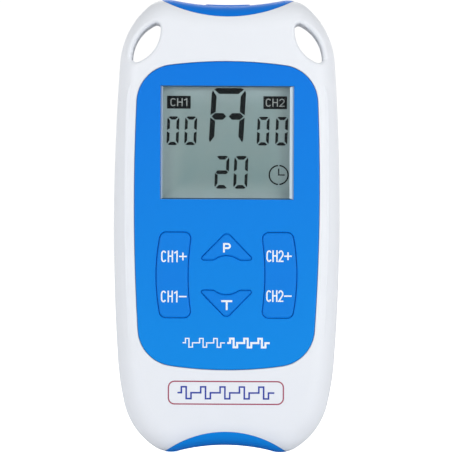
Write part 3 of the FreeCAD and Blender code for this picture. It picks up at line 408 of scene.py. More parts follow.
@dataclass(frozen=True)
class SolderMask:
    """A circuit board's lacquer, with tracks that show through it as paler lines."""

    name: str
    colour: Colour
    track_colour: Colour
    pitch: float = 1.3
    track: float = 0.06
    track_height: float = 0.02
    cloud_size: float = 1.2
    gloss: Point2 = (0.25, 0.4)

    def make(self) -> bpy.types.Material:
        """Builds the material."""
        box = Paintbox(self.name)
        turn = box.node("ShaderNodeMapping", Vector=box.place, Rotation=(math.pi / 2, 0.0, 0.0))
        bricks = box.node(
            "ShaderNodeTexBrick",
            {"offset_frequency": 3},
            Vector=turn.outputs[0],
            Scale=1 / (self.pitch * 4 * MM),
            Mortar_Size=self.track,
        )
        tracks = bricks.outputs["Fac"]
        colour = box.blend(tracks, self.colour, self.track_colour)
        rough = box.ranged(box.noise(self.cloud_size, 3.0), *NOISE_SPAN, *self.gloss)
        normal = box.relief(tracks, self.track_height)
        return box.finish(box.shader(colour, rough, Normal=normal, Specular_IOR_Level=0.4))


@dataclass(frozen=True)
class StudioWhite:
    """A floor that is plain white to the camera and a dimmer grey to everything else."""

    name: str
    colour: Colour
    worn_colour: Colour
    glow: float = 1.0
    patch_size: float = 250.0
    roughness: float = 0.8

    def make(self) -> bpy.types.Material:
        """Builds the material."""
        box = Paintbox(self.name)
        colour = box.blend(box.noise(self.patch_size, 3.0), self.colour, self.worn_colour)
        seen = box.node("ShaderNodeLightPath").outputs["Is Camera Ray"]
        strength = box.ranged(seen, 0.0, 1.0, 0.0, self.glow)
        glow = {"Emission_Color": (1.0, 1.0, 1.0), "Emission_Strength": strength}
        return box.finish(box.shader(colour, self.roughness, Specular_IOR_Level=0.1, **glow))


# The thin, even gloss of a shrunk sleeve.
SLEEVE = {"roughness": 0.22, "gloss_spread": 0.04, "texture_depth": 0.001}


class Finish(Enum):
    """Every finish of the object, by the name of its material slot or its use."""

    WHITE_PLASTIC = MouldedPlastic("white_plastic", (0.86, 0.885, 0.93), (0.83, 0.86, 0.905))
    WHITE_COVER = MouldedPlastic("white_cover", (0.84, 0.865, 0.9), (0.8, 0.83, 0.87), roughness=0.46)
    BLUE_PLASTIC = MouldedPlastic(
        "blue_plastic", (0.0035, 0.2, 0.775), (0.003, 0.186, 0.745), roughness=0.4, specular=0.1,
        # Painted light: the blue is lighter at the foot than at the top.
        painted_light_foot_colour=(0.0038, 0.262, 0.8),
    )
    BLUE_KEYS = MouldedPlastic(
        "blue_keys", (0.0034, 0.226, 0.79), (0.003, 0.206, 0.755), roughness=0.5, specular=0.12,
        texture_depth=0.005,
    )
    CLIP_PLASTIC = MouldedPlastic("clip_plastic", (0.82, 0.845, 0.88), (0.78, 0.81, 0.85), roughness=0.38)
    FRAME_PLASTIC = MouldedPlastic("frame_plastic", (0.62, 0.64, 0.66), (0.55, 0.57, 0.6), roughness=0.55)
    BLACK_PLASTIC = MouldedPlastic(
        "black_plastic", (0.022, 0.023, 0.026), (0.014, 0.015, 0.017), roughness=0.45
    )
    SWITCH_PLUNGER = MouldedPlastic("switch_plunger", (0.6, 0.58, 0.52), (0.5, 0.48, 0.43), roughness=0.5)
    CHIP_BODY = MouldedPlastic(
        "chip_body", (0.03, 0.028, 0.026), (0.05, 0.042, 0.034), roughness=0.6, texture_size=0.1
    )
    FERRITE = MouldedPlastic(
        "ferrite", (0.05, 0.048, 0.046), (0.11, 0.1, 0.09), roughness=0.7, flow_size=2.0
    )
    CLEAR_WINDOW = ClearAcrylic("clear_window", (0.985, 0.99, 0.99), (0.9, 0.93, 0.94))
    # Painted highlight: the pale window bevels at the sides, where light would glint on them.
    BEVEL_PAINTED_HIGHLIGHT = MouldedPlastic(
        "window_bevel_painted_highlight", (0.56, 0.67, 0.72), (0.5, 0.62, 0.68), roughness=0.2, specular=0.2,
        texture_depth=0.0005,
    )
    # Painted shade: the dark window bevels at the ends, under the fascia's edge.
    BEVEL_PAINTED_SHADE = MouldedPlastic(
        "window_bevel_painted_shade", (0.12, 0.24, 0.3), (0.1, 0.21, 0.27), roughness=0.2, specular=0.1,
        texture_depth=0.0005,
    )
    # The film's bottom colour, its painted top light and a random warm tone.
    DISPLAY_GLASS = PolariserFilm(
        "display_glass", (0.21, 0.31, 0.31), (0.3, 0.4, 0.405), (0.3, 0.36, 0.345)
    )
    # Painted light here too: lighter towards its top and towards its edges.
    REFLECTOR = PolariserFilm("reflector", (0.5, 0.53, 0.52), (0.58, 0.6, 0.6), (0.55, 0.56, 0.53))
    SEGMENT = PrintedInk("display_segment", (0.0035, 0.0065, 0.0075), (0.006, 0.01, 0.012), specular=0.05)
    SEGMENT_GAP = PrintedInk("display_gap", (0.42, 0.45, 0.44), (0.36, 0.4, 0.39), specular=0.05)
    WHITE_INK = PrintedInk("white_ink", (0.92, 0.95, 0.97), (0.84, 0.89, 0.93))
    BLUE_INK = PrintedInk("blue_ink", (0.02, 0.045, 0.36), (0.04, 0.08, 0.42))
    RED_INK = PrintedInk("red_ink", (0.36, 0.055, 0.11), (0.44, 0.1, 0.16))
    GREY_INK = PrintedInk("grey_ink", (0.11, 0.12, 0.13), (0.16, 0.17, 0.18))
    FOAM = SoftRubber(
        "foam", (0.07, 0.07, 0.075), (0.02, 0.02, 0.022), roughness=0.9, pore_size=0.4, pore_depth=0.08
    )
    ELASTOMER = SoftRubber(
        "elastomer", (0.62, 0.35, 0.33), (0.5, 0.27, 0.26), pore_size=0.2, pore_depth=0.005
    )
    KEYPAD_RUBBER = SoftRubber(
        "keypad_rubber", (0.42, 0.44, 0.46), (0.36, 0.38, 0.4), pore_size=0.3, pore_depth=0.004
    )
    CARBON = SoftRubber(
        "carbon", (0.018, 0.018, 0.02), (0.01, 0.01, 0.011), pore_size=0.15, pore_depth=0.006
    )
    CIRCUIT_BOARD = SolderMask("circuit_board", (0.006, 0.1, 0.045), (0.02, 0.2, 0.09))
    GOLD_PADS = PlatedMetal(
        "gold_pads", (0.83, 0.58, 0.24), (0.7, 0.47, 0.2), roughness=0.22, grain_axis=Axis.X
    )
    CAN_METAL = PlatedMetal(
        "can_metal", (0.7, 0.71, 0.73), (0.56, 0.57, 0.6), roughness=0.3, grain_axis=Axis.Y
    )
    CONTACT_METAL = PlatedMetal("contact_metal", (0.76, 0.74, 0.7), (0.6, 0.58, 0.54), roughness=0.25)
    SCREW_STEEL = PlatedMetal(
        "screw_steel", (0.55, 0.56, 0.58), (0.4, 0.41, 0.43), roughness=0.32, grain_axis=Axis.Y
    )
    SPRING_STEEL = PlatedMetal(
        "spring_steel", (0.6, 0.6, 0.62), (0.44, 0.44, 0.46), roughness=0.3, grain_axis=Axis.X
    )
    CELL_SLEEVE = MouldedPlastic("battery_sleeve", (0.42, 0.44, 0.47), (0.36, 0.38, 0.41), **SLEEVE)
    CELL_BAND = MouldedPlastic("battery_band", (0.012, 0.05, 0.2), (0.01, 0.04, 0.16), **SLEEVE)
    LABEL_FILM = MouldedPlastic(
        "label_film", (0.72, 0.74, 0.76), (0.68, 0.7, 0.73), roughness=0.55, texture_size=0.2
    )
    STUDIO_FLOOR = StudioWhite("studio_floor", (0.9, 0.9, 0.91), (0.88, 0.88, 0.89))


class Palette:
    """Hands out materials, each made once."""

    def __init__(self) -> None:
        """Starts with nothing made."""
        self.made: dict[Finish, bpy.types.Material] = {}

    def get(self, finish: Finish) -> bpy.types.Material:
        """The material of a finish."""
        if finish not in self.made:
            self.made[finish] = finish.value.make()
        return self.made[finish]


# ------------------------------------------------------------------------------ meshes
class Workshop:
    """Makes pieces and dresses the frame's own nodes, and logs each piece's faces."""

    def __init__(self, frame: dict[str, object]) -> None:
        """Keeps the frame's nodes and starts a palette.
        """
        self.nodes: dict[str, bpy.types.Object] = frame["nodes"]
        self.palette = Palette()

    def box(self, node: str) -> tuple[Vector, Vector]:
        """A node's lowest and highest corner, in millimetres."""
        low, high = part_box(node)
        return low / MM, high / MM

    def dress(self, finish: Finish, *names: str) -> None:
        """Gives nodes of the frame their material."""
        for name in names:
            node = self.nodes[name]
            node.data.materials.clear()
            node.data.materials.append(self.palette.get(finish))

    def enter(
        self,
        obj: bpy.types.Object,
        body: Body,
        replaces: Iterable[str] = (),
    ) -> bpy.types.Object:
        """Lets a finished piece ride on its body.

        Args:
            obj: the piece, with its place in its mesh.
            body: what it moves with.
            replaces: the frame's nodes it stands for.

        Returns:
            The piece.
        """
        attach(obj, body.value)
        names = list(replaces)
        if names:
            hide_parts(*names)
        LOG.info("%s: %d faces on %s", obj.name, len(obj.data.polygons), body.value)
        return obj

    def piece(
        self,
        name: str,
        points: Sequence[Point3],
        faces: Sequence[Sequence[int]],
        finishes: Sequence[Finish],
        uses: Callable[[int], int] = lambda index: 0,
        smooth_angle: float | None = None,
    ) -> bpy.types.Object:
        """Makes a mesh object from points in millimetres.

        Args:
            name: the piece's name.
            points: its corners.
            faces: its faces, as indices into the points.
            finishes: its materials.
            uses: which material a face takes, by the face's index.
            smooth_angle: degrees up to which edges are shaded smooth, or None for flat faces.

        Returns:
            The new object, at the origin.
        """
        mesh = bpy.data.meshes.new(name)
        mesh.from_pydata([tuple(value * MM for value in point) for point in points], [], faces)
        for finish in finishes:
            mesh.materials.append(self.palette.get(finish))
        for index, polygon in enumerate(mesh.polygons):
            polygon.material_index = uses(index)
        work = bmesh.new()
        work.from_mesh(mesh)
        bmesh.ops.remove_doubles(work, verts=work.verts, dist=1e-7)
        bmesh.ops.recalc_face_normals(work, faces=work.faces)
        if smooth_angle is not None:
            for face in work.faces:
                face.smooth = True
            limit = math.radians(smooth_angle)
            for edge in work.edges:
                edge.smooth = len(edge.link_faces) == 2 and edge.calc_face_angle(0.0) < limit
        work.to_mesh(mesh)
        work.free()
        obj = bpy.data.objects.new(name, mesh)
        bpy.context.scene.collection.objects.link(obj)
        return obj

    def turned(
        self,
        name: str,
        profile: Sequence[Point2],
        centre: Point2,
        finishes: Sequence[Finish],
        bands: Sequence[int],
        steps: int = 64,
    ) -> bpy.types.Object:
        """A solid turned about an upright axis.

        Args:
            name: the piece's name.
            profile: (radius, height) from pole to pole, both ends on the axis.
            centre: the axis's x and y.
            finishes: its materials.
            bands: the material of each stretch of the profile.
            steps: how many facets go round.

        Returns:
            The new object.
        """
        points: list[Point3] = []
        for radius, height in profile:
            for step in range(steps):
                angle = 2 * math.pi * step / steps
                across, back = radius * math.cos(angle), radius * math.sin(angle)
                points.append((centre[0] + across, centre[1] + back, height))
        faces = []
        uses = []
        for ring in range(len(profile) - 1):
            for step in range(steps):
                after = (step + 1) % steps
                low, high = ring * steps, (ring + 1) * steps
                faces.append((low + step, low + after, high + after, high + step))
                uses.append(bands[ring])
        return self.piece(name, points, faces, finishes, lambda index: uses[index], smooth_angle=35.0)


class GeometryRecipe(NodeBench):
    """A Geometry Nodes tree with named sizes that ends as a plain mesh."""

    def __init__(self, name: str, sizes: dict[str, float]) -> None:
        """Starts a tree.

        Args:
            name: the tree's name.
            sizes: its named inputs with their values; lengths are in millimetres.
        """
        super().__init__(bpy.data.node_groups.new(name, "GeometryNodeTree"))
        self.sizes = sizes
        self.identifiers: dict[str, str] = {}
        for label, value in sizes.items():
            kind = "NodeSocketInt" if isinstance(value, int) else "NodeSocketFloat"
            socket = self.tree.interface.new_socket(label, in_out="INPUT", socket_type=kind)
            self.identifiers[label] = socket.identifier
        self.tree.interface.new_socket("Geometry", in_out="OUTPUT", socket_type="NodeSocketGeometry")
        self.group = self.tree.nodes.new("NodeGroupInput")

    def size(self, label: str) -> Socket:
        """The output that carries one named size."""
        return self.group.outputs[label]

    def vector(self, x: object = 0.0, y: object = 0.0, z: object = 0.0) -> Socket:
        """A vector made of numbers or sockets."""
        return self.node("ShaderNodeCombineXYZ", X=x, Y=y, Z=z).outputs[0]

    def wire(self, curve: Socket, radius: Socket) -> Socket:
        """A round wire with closed ends along a curve."""
        ring = self.node("GeometryNodeCurvePrimitiveCircle", Resolution=WIRE_FACETS, Radius=radius)
        made = self.node(
            "GeometryNodeCurveToMesh", Curve=curve, Profile_Curve=ring.outputs[0], Fill_Caps=True
        )
        return made.outputs[0]

    def coil(self, foot: str, head: str, rise: str) -> Socket:
        """A wound wire, whose radius at each end and rise are named sizes."""
        spiral = self.node(
            "GeometryNodeCurveSpiral",
            Resolution=COIL_POINTS,
            Rotations=self.size("Turns"),
            Start_Radius=self.size(foot),
            End_Radius=self.size(head),
            Height=self.size(rise),
        )
        return self.wire(spiral.outputs[0], self.size("Wire"))

    def join(self, *parts: Socket) -> Socket:
        """All the parts as one geometry."""
        made = self.tree.nodes.new("GeometryNodeJoinGeometry")
        for part in reversed(parts):
            self.tree.links.new(part, made.inputs[0])
        return made.outputs[0]

    def moved(self, part: Socket, **changes: Point3) -> Socket:
        """A part with a Translation, Rotation or Scale."""
        return self.node("GeometryNodeTransform", Geometry=part, **changes).outputs[0]

    def bake(self, name: str, result: Socket, material: bpy.types.Material) -> bpy.types.Object:
        """Runs the tree and returns its plain mesh.

        Args:
            name: the piece's name.
            result: the geometry to keep.
            material: its finish.

        Returns:
            The new object, at the origin with no modifier.
        """
        output = self.tree.nodes.new("NodeGroupOutput")
        shrunk = self.moved(result, Scale=(MM, MM, MM))
        smooth = self.node("GeometryNodeSetShadeSmooth", Geometry=shrunk)
        real = self.node("GeometryNodeRealizeInstances", Geometry=smooth.outputs[0])
        painted = self.node("GeometryNodeSetMaterial", Geometry=real.outputs[0], Material=material)
        self.tree.links.new(painted.outputs[0], output.inputs[0])
        obj = bpy.data.objects.new(name, bpy.data.meshes.new(name + "_seed"))
        bpy.context.scene.collection.objects.link(obj)
        modifier = obj.modifiers.new("recipe", "NODES")
        modifier.node_group = self.tree
        for label, value in self.sizes.items():
            modifier[self.identifiers[label]] = value
        bpy.context.view_layer.update()
        evaluated = obj.evaluated_get(bpy.context.evaluated_depsgraph_get())
        plain = bpy.data.meshes.new_from_object(evaluated)
        obj.modifiers.remove(modifier)
        obj.data = plain
        plain.name = name
        return obj


# ------------------------------------------------------------------------------ printed artwork
class Ground:
    """The surface that a print lies on."""

    def __init__(self, facing: Facing, flat: float = 0.0, node: bpy.types.Object | None = None) -> None:
        """Takes a flat plane or the surface of a node.

        Args:
            facing: which way the surface looks.
            flat: the plane's y in millimetres, used if there is no node.
            node: the object whose surface it is.
        """
        self.facing = facing
        self.flat = flat
        self.tree = None
        if node is not None:
            corners = [vertex.co.copy() for vertex in node.data.vertices]
            faces = [tuple(face.vertices) for face in node.data.polygons]
            self.tree = BVHTree.FromPolygons(corners, faces)

    def depth(self, across: float, up: float) -> float:
        """The surface's y in millimetres at a place on it."""
        if self.tree is None:
            return self.flat
        away = self.facing.value
        start = Vector((across * MM, away * PROBE_REACH, up * MM))
        hit = self.tree.ray_cast(start, Vector((0.0, -away, 0.0)))[0]
        return self.flat if hit is None else hit.y / MM


class Artwork:
    """Flat art made of convex faces, in millimetres across and up."""

    def __init__(self) -> None:
        """Starts an empty sheet."""
        self.points: list[Point2] = []
        self.faces: list[list[int]] = []
        self.known: dict[Point2, int] = {}

    def point(self, across: float, up: float) -> int:
        """The index of a point, shared with any point at the same place."""
        key = (round(across, 4), round(up, 4))
        if key not in self.known:
            self.known[key] = len(self.points)
            self.points.append((across, up))
        return self.known[key]

    def polygon(self, corners: Sequence[Point2]) -> None:
        """Adds one convex face."""
        self.faces.append([self.point(*corner) for corner in corners])

    def strip(
        self, path: Sequence[Point2], width: float, closed: bool = False, step: float = 1.5
    ) -> None:
        """Adds a line of even width with mitred corners.

        Args:
            path: the points of its middle line.
            width: its width.
            closed: whether it returns to its start.
            step: the longest face along it.
        """
        line = self.divided(path, closed, step)
        count = len(line)
        sides: list[tuple[Point2, Point2]] = []
        for index, here in enumerate(line):
            ways = []
            if closed or index > 0:
                ways.append(self.heading(line[index - 1], here))
            if closed or index < count - 1:
                ways.append(self.heading(here, line[(index + 1) % count]))
            mean = sum(ways, Vector((0.0, 0.0))).normalized()
            reach = width / 2 / max(mean.dot(ways[0]), 0.2)
            left = Vector((-mean.y, mean.x)) * reach
            x, z = here
            sides.append(((x + left.x, z + left.y), (x - left.x, z - left.y)))
        for index in range(count if closed else count - 1):
            (a, b), (c, d) = sides[index], sides[(index + 1) % count]
            self.polygon([a, b, d, c])

    @staticmethod
    def heading(start: Point2, end: Point2) -> Vector:
        """The unit vector from one point to another."""
        return (Vector(end) - Vector(start)).normalized()

    @staticmethod
    def divided(path: Sequence[Point2], closed: bool, step: float) -> list[Point2]:
        """The path with points added so that no stretch is longer than a step."""
        ends = list(path) + ([path[0]] if closed else [])
        line: list[Point2] = []
        for start, end in zip(ends, ends[1:]):
            pieces = max(1, math.ceil(math.dist(start, end) / step))
            for part in range(pieces):
                share = part / pieces
                reach = (end[0] - start[0], end[1] - start[1])
                line.append((start[0] + reach[0] * share, start[1] + reach[1] * share))
        if not closed:
            line.append(ends[-1])
        return line

    def print_on(
        self,
        shop: Workshop,
        name: str,
        ground: Ground,
        finish: Finish,
        body: Body,
        slot: str,
        lift: float = 0.02,
        sink: float = 0.03,
    ) -> None:
        """Lays the art on a surface as a thin closed film and lets it ride on a body.

        Args:
            shop: where pieces are made.
            name: the piece's name.
            ground: what it lies on.
            finish: its ink.
            body: what it moves with.
            slot: the material slot of what it is printed on; not used.
            lift: how far it stands proud.
            sink: how far it reaches into the surface.
        """
        away = ground.facing.value
        count = len(self.points)
        depths = [ground.depth(*point) for point in self.points]
        points = [(x, y + away * lift, z) for (x, z), y in zip(self.points, depths)]
        points += [(x, y - away * sink, z) for (x, z), y in zip(self.points, depths)]
        faces = [list(face) for face in self.faces]
        faces += [[index + count for index in reversed(face)] for face in self.faces]
        edges: dict[tuple[int, int], int] = {}
        for face in self.faces:
            for start, end in zip(face, face[1:] + face[:1]):
                edges[(start, end)] = edges.get((start, end), 0) + 1
        for start, end in edges:
            if (end, start) not in edges:
                faces.append([start, end, end + count, start + count])
        shop.enter(shop.piece(name, points, faces, [finish]), body)


def arc_points(centre: Point2, radii: Point2, start: float, end: float, steps: int) -> list[Point2]:
    """Points along an arc of an ellipse.

    Args:
        centre: its middle.
        radii: its half width and half height.
        start: the first angle in degrees.
        end: the last angle in degrees.
        steps: how many stretches it has.

    Returns:
        The points, both ends included.
    """
    angles = [math.radians(start + (end - start) * step / steps) for step in range(steps + 1)]
    x, z = centre
    return [(x + radii[0] * math.cos(angle), z + radii[1] * math.sin(angle)) for angle in angles]


@dataclass(frozen=True)
class Lettering:
    """A plain condensed alphabet drawn with strokes of one weight."""

    height: float
    weight: float
    wide: float
    sign: float
    space: float
    corner: float = 0.27
    crossbar: float = 0.52
    stem: float = 0.62
    flag: Point2 = (0.78, 0.9)
    steps: int = 10

    def strokes(self, letter: str) -> tuple[float, list[list[Point2]]]:
        """A letter's width and the middle lines of its strokes, from its lower left corner."""
        high, wide, half = self.height, self.wide, self.weight / 2
        bend = high * self.corner
        bow = ((wide / 2), (wide - self.weight) / 2)
        if letter == "C":
            top = arc_points((bow[0], high - half - bend), (bow[1], bend), 28, 180, self.steps)
            low = arc_points((bow[0], half + bend), (bow[1], bend), 180, 332, self.steps)
            return wide, [top + low]
        if letter == "H":
            stems = [[(x, 0.0), (x, high)] for x in (half, wide - half)]
            level = high * self.crossbar
            return wide, stems + [[(self.weight, level), (wide - self.weight, level)]]
        if letter == "1":
            stem = wide * self.stem
            flag = [(0.0, high * self.flag[0]), (stem - self.weight, high * self.flag[1])]
            return stem, [[(stem - half, 0.0), (stem - half, high)], flag]
        if letter == "2":
            top = arc_points((bow[0], high - half - bend), (bow[1], bend), 165, -25, self.steps)
            return wide, [top + [(half * 1.2, half), (wide, half)]]
        if letter == "P":
            bowl = high * self.corner - half / 2
            right = wide - half - bowl
            turn = arc_points((right, high - half - bowl), (bowl, bowl), 90, -90, self.steps)
            loop = [(self.weight, high - half)] + turn + [(self.weight, high - half - 2 * bowl)]
            return wide, [[(half, 0.0), (half, high)], loop]
        if letter == "T":
            stem = [(wide / 2, 0.0), (wide / 2, high - self.weight)]
            return wide, [[(0.0, high - half), (wide, high - half)], stem]
        middle = high * 0.5
        bar = [[(0.0, middle), (self.sign, middle)]]
        if letter == "+":
            arm = (self.sign - self.weight) / 2
            centre = self.sign / 2
            for way in (1, -1):
                foot = middle + way * half
                bar.append([(centre, foot), (centre, foot + way * arm)])
        return self.sign, bar

    def width_of(self, text: str) -> float:
        """How wide a word is."""
        return sum(self.strokes(letter)[0] for letter in text) + self.space * (len(text) - 1)

    def write(self, art: Artwork, text: str, centre: Point2) -> None:
        """Draws a word with its middle at a point."""
        left = centre[0] - self.width_of(text) / 2
        base = centre[1] - self.height / 2
        for letter in text:
            wide, lines = self.strokes(letter)
            for line in lines:
                art.strip([(left + x, base + z) for x, z in line], self.weight, step=1.0)
            left += wide + self.space


@dataclass(frozen=True)
class SegmentDigit:
    """A seven-segment figure with mitred bars that leans a little to the right."""

    wide: float
    high: float
    upright: float
    level: float
    gap: float
    lean: float
    split_middle: bool = False
    mitre: float = 0.45
    nose: float = 0.5
    split_nose: float = 0.57

    def bars(self) -> dict[str, list[list[Point2]]]:
        """Each segment's outlines, by its usual letter, before the lean."""
        w, h, t, v, g = self.wide, self.high, self.upright, self.level, self.gap
        mid = h / 2
        cut = self.mitre * v
        shoulder = h - cut * 0.5
        top = [(g + cut, h), (w - g - cut, h), (w - g, shoulder)]
        top += [(w - g - t, h - v), (g + t, h - v), (g, shoulder)]
        low = [(x, h - z) for x, z in reversed(top)]
        nose = v * (self.split_nose if self.split_middle else self.nose)
        foot = mid + g * 0.5
        upper = [(0.0, h - g - cut), (cut * 0.4, h - g), (t, h - g - v), (t, foot + nose), (0.0, foot)]
        lower = [(x, h - z) for x, z in reversed(upper)]
        bars = {"a": [top], "d": [low], "f": [upper], "e": [lower]}
        bars["b"] = [[(w - x, z) for x, z in reversed(upper)]]
        bars["c"] = [[(w - x, z) for x, z in reversed(lower)]]
        ends = [(g * 0.5, w - g * 0.5)]
        if self.split_middle:
            ends = [(g * 0.5, w / 2 - g * 0.5), (w / 2 + g * 0.5, w - g * 0.5)]
        bars["g"] = []
        for x0, x1 in ends:
            under = [(x0, mid), (x0 + nose, mid - nose), (x1 - nose, mid - nose)]
            over = [(x1, mid), (x1 - nose, mid + nose), (x0 + nose, mid + nose)]
            bars["g"].append(under + over)
        return bars

    def draw(self, art: Artwork, lit: str, corner: Point2) -> None:
        """Adds the lit segments, with the figure's lower left corner at a point."""
        shapes = self.bars()
        for name in lit:
            for outline in shapes[name]:
                art.polygon([(corner[0] + x + self.lean * z, corner[1] + z) for x, z in outline])


# ------------------------------------------------------------------------------ studio
@dataclass
class Studio:
    """The camera, the lights and the plain floor."""

    eye_level: float = 60.0
    eye_shift: float = -0.19
    eye_distance: float = 1400.0
    split_plane: float = -3.11
    lens: float = 418.3
    sensor: float = 36.0
    clip: Point2 = (0.05, 20.0)
    roll: float = 0.29
    floor_half: float = 9000.0
    floor_z: float = -0.4
    dimming: Point2 = (0.14, 0.5)
    backdrop: float = 1.05
    horizon: float = 1.16
    zenith: float = 0.4
    left_light: float = 4.3
    right_light: float = 5.8
    back_light: float = 3.6
    left_place: Point3 = (-850.0, -950.0, 180.0)
    right_place: Point3 = (900.0, -950.0, 180.0)
    back_place: Point3 = (0.0, 1100.0, 900.0)
    box_size: float = 600.0
    back_size: float = 700.0

    def place_camera(self) -> None:
        """Sets a long lens straight in front of the keypad, at half the casing's height."""
        data = bpy.data.cameras.new("camera")
        data.lens = self.lens
        data.sensor_width = self.sensor
        data.clip_start, data.clip_end = self.clip
        camera = bpy.data.objects.new("camera", data)
        eye = Vector((self.eye_shift, self.split_plane - self.eye_distance, self.eye_level))
        camera.matrix_world = (
            Matrix.Translation(eye * MM)
            @ Matrix.Rotation(math.pi / 2, 4, "X")
            @ Matrix.Rotation(math.radians(self.roll), 4, "Z")
        )
        bpy.context.scene.collection.objects.link(camera)
        bpy.context.scene.camera = camera

    def light_room(self) -> None:
        """Surrounds the object with soft white: bright at the horizon and dimmer overhead."""
        world = bpy.data.worlds.new("studio")
        world.use_nodes = True
        bpy.context.scene.world = world
        bench = NodeBench(world.node_tree)
        place = bench.node("ShaderNodeTexCoord").outputs["Generated"]
        rise = bench.node("ShaderNodeSeparateXYZ", Vector=place).outputs["Z"]
        low, high = self.dimming
        steep = bench.node("ShaderNodeMapRange", Value=rise, From_Min=low, From_Max=high)
        steep.inputs["To Min"].default_value = self.horizon
        steep.inputs["To Max"].default_value = self.zenith
        path = bench.node("ShaderNodeLightPath").outputs["Is Camera Ray"]
        seen = bench.node(
            "ShaderNodeMapRange", Value=path, To_Min=steep.outputs[0], To_Max=self.backdrop
        )
        shade = bench.node("ShaderNodeBackground", Color=(1.0, 1.0, 1.0), Strength=seen.outputs[0])
        bench.node("ShaderNodeOutputWorld", Surface=shade.outputs[0])

    def soft_box(self, name: str, place: Point3, power: float, size: float) -> None:
        """Adds a square lamp that looks at the middle of the object.

        Args:
            name: the lamp's name.
            place: where it hangs, in millimetres.
            power: its power in watts.
            size: its side in millimetres.
        """
        data = bpy.data.lights.new(name, "AREA")
        data.energy = power
        data.size = size * MM
        lamp = bpy.data.objects.new(name, data)
        spot = Vector(place) * MM
        aim = Vector((0.0, 0.0, self.eye_level * MM)) - spot
        lamp.matrix_world = Matrix.Translation(spot) @ aim.to_track_quat("-Z", "Y").to_matrix().to_4x4()
        lamp.visible_camera = False
        bpy.context.scene.collection.objects.link(lamp)

    def lay_floor(self, shop: Workshop) -> None:
        """Lays a floor under the object that looks as white as the room and lights it only a little."""
        half = self.floor_half
        sides = ((-half, -half), (half, -half), (half, half), (-half, half))
        corners = [(x, y, self.floor_z) for x, y in sides]
        shop.piece("studio_floor", corners, [(0, 1, 2, 3)], [Finish.STUDIO_FLOOR])

    def build(self, shop: Workshop) -> None:
        """Sets the whole studio up."""
        self.place_camera()
        self.light_room()
        self.lay_floor(shop)
        self.soft_box("left_box", self.left_place, self.left_light, self.box_size)
        self.soft_box("right_box", self.right_place, self.right_light, self.box_size)
        self.soft_box("back_box", self.back_place, self.back_light, self.back_size)
        bpy.context.scene.view_settings.view_transform = "Standard"


# ------------------------------------------------------------------------------ the object
@dataclass
class Casing:
    """The white shells, the blue end caps and fascia, and what is printed on them."""

    wave_z: float = 29.1
    wave_half: float = 11.5
    wave_rise: float = 2.3
    fine_line: float = 0.3
    bold_line: float = 0.52
    wave_gap: float = 0.3
    wave_pulses: int = 3
    plate_z: float = 15.9
    plate_half: float = 15.2
    plate_rise: float = 6.0
    plate_radius: float = 1.6
    plate_line: float = 0.34
    pulse_inset: float = 2.4
    pulse_share: float = 0.52
    pulse_width: float = 0.42
    plate_pulses: int = 5

    def dress(self, shop: Workshop) -> None:
        """Gives the casing's nodes their plastics."""
        shop.dress(Finish.WHITE_PLASTIC, "front_shell", "rear_shell")
        shop.dress(Finish.BLUE_PLASTIC, "top_cap", "bottom_cap", "fascia")

    @staticmethod
    def pulse_line(
        left: float, right: float, base: float, rise: float, pulses: int
    ) -> list[Point2]:
        """A train of square pulses, each with a rise and a dip.

        Args:
            left: where it starts.
            right: where it ends.
            base: the height of its resting line.
            rise: how far it goes up and down from that line.
            pulses: how many pulses it has.

        Returns:
            The points of the line.
        """
        line = [(left, base)]
        pitch = (right - left) / pulses
        for pulse in range(pulses):
            start = left + pulse * pitch
            line += [(start + share * pitch, base + level * rise) for share, level in PULSE_SHAPE]
        return line + [(right, base)]

    def print_wave(self, shop: Workshop) -> None:
        """Prints a plain pulse train low on the fascia, fine at its left and bold at its right."""
        art = Artwork()
        half, gap = self.wave_half, self.wave_gap
        rest = (self.wave_z, self.wave_rise / 2, self.wave_pulses)
        art.strip(self.pulse_line(-half, -gap, *rest), self.fine_line)
        art.strip(self.pulse_line(gap, half, *rest), self.bold_line)
        ground = Ground(Facing.FRONT, node=shop.nodes["fascia"])
        art.print_on(
            shop, "fascia_pulse_print", ground, Finish.WHITE_INK, Body.CASING, "blue_plastic"
        )

    def print_plate(self, shop: Workshop) -> None:
        """Prints a plain framed pulse on the white below the fascia."""
        ground = Ground(Facing.FRONT, node=shop.nodes["front_shell"])
        half, rise, radius = self.plate_half, self.plate_rise / 2, self.plate_radius
        frame: list[Point2] = []
        for corner, (side, up) in enumerate(((1, 1), (-1, 1), (-1, -1), (1, -1))):
            centre = (side * (half - radius), self.plate_z + up * (rise - radius))
            frame += arc_points(centre, (radius, radius), 90 * corner, 90 * corner + 90, 6)
        outline = Artwork()
        outline.strip(frame, self.plate_line, closed=True)
        place = (Body.CASING, "white_plastic")
        outline.print_on(shop, "plate_frame_print", ground, Finish.RED_INK, *place)
        pulse = Artwork()
        reach = half - self.pulse_inset
        train = self.pulse_line(-reach, reach, self.plate_z, rise * self.pulse_share, self.plate_pulses)
        pulse.strip(train, self.pulse_width)
        pulse.print_on(shop, "plate_pulse_print", ground, Finish.BLUE_INK, *place)

    def build(self, shop: Workshop) -> None:
        """Dresses and prints the casing."""
        self.dress(shop)
        self.print_wave(shop)
        self.print_plate(shop)


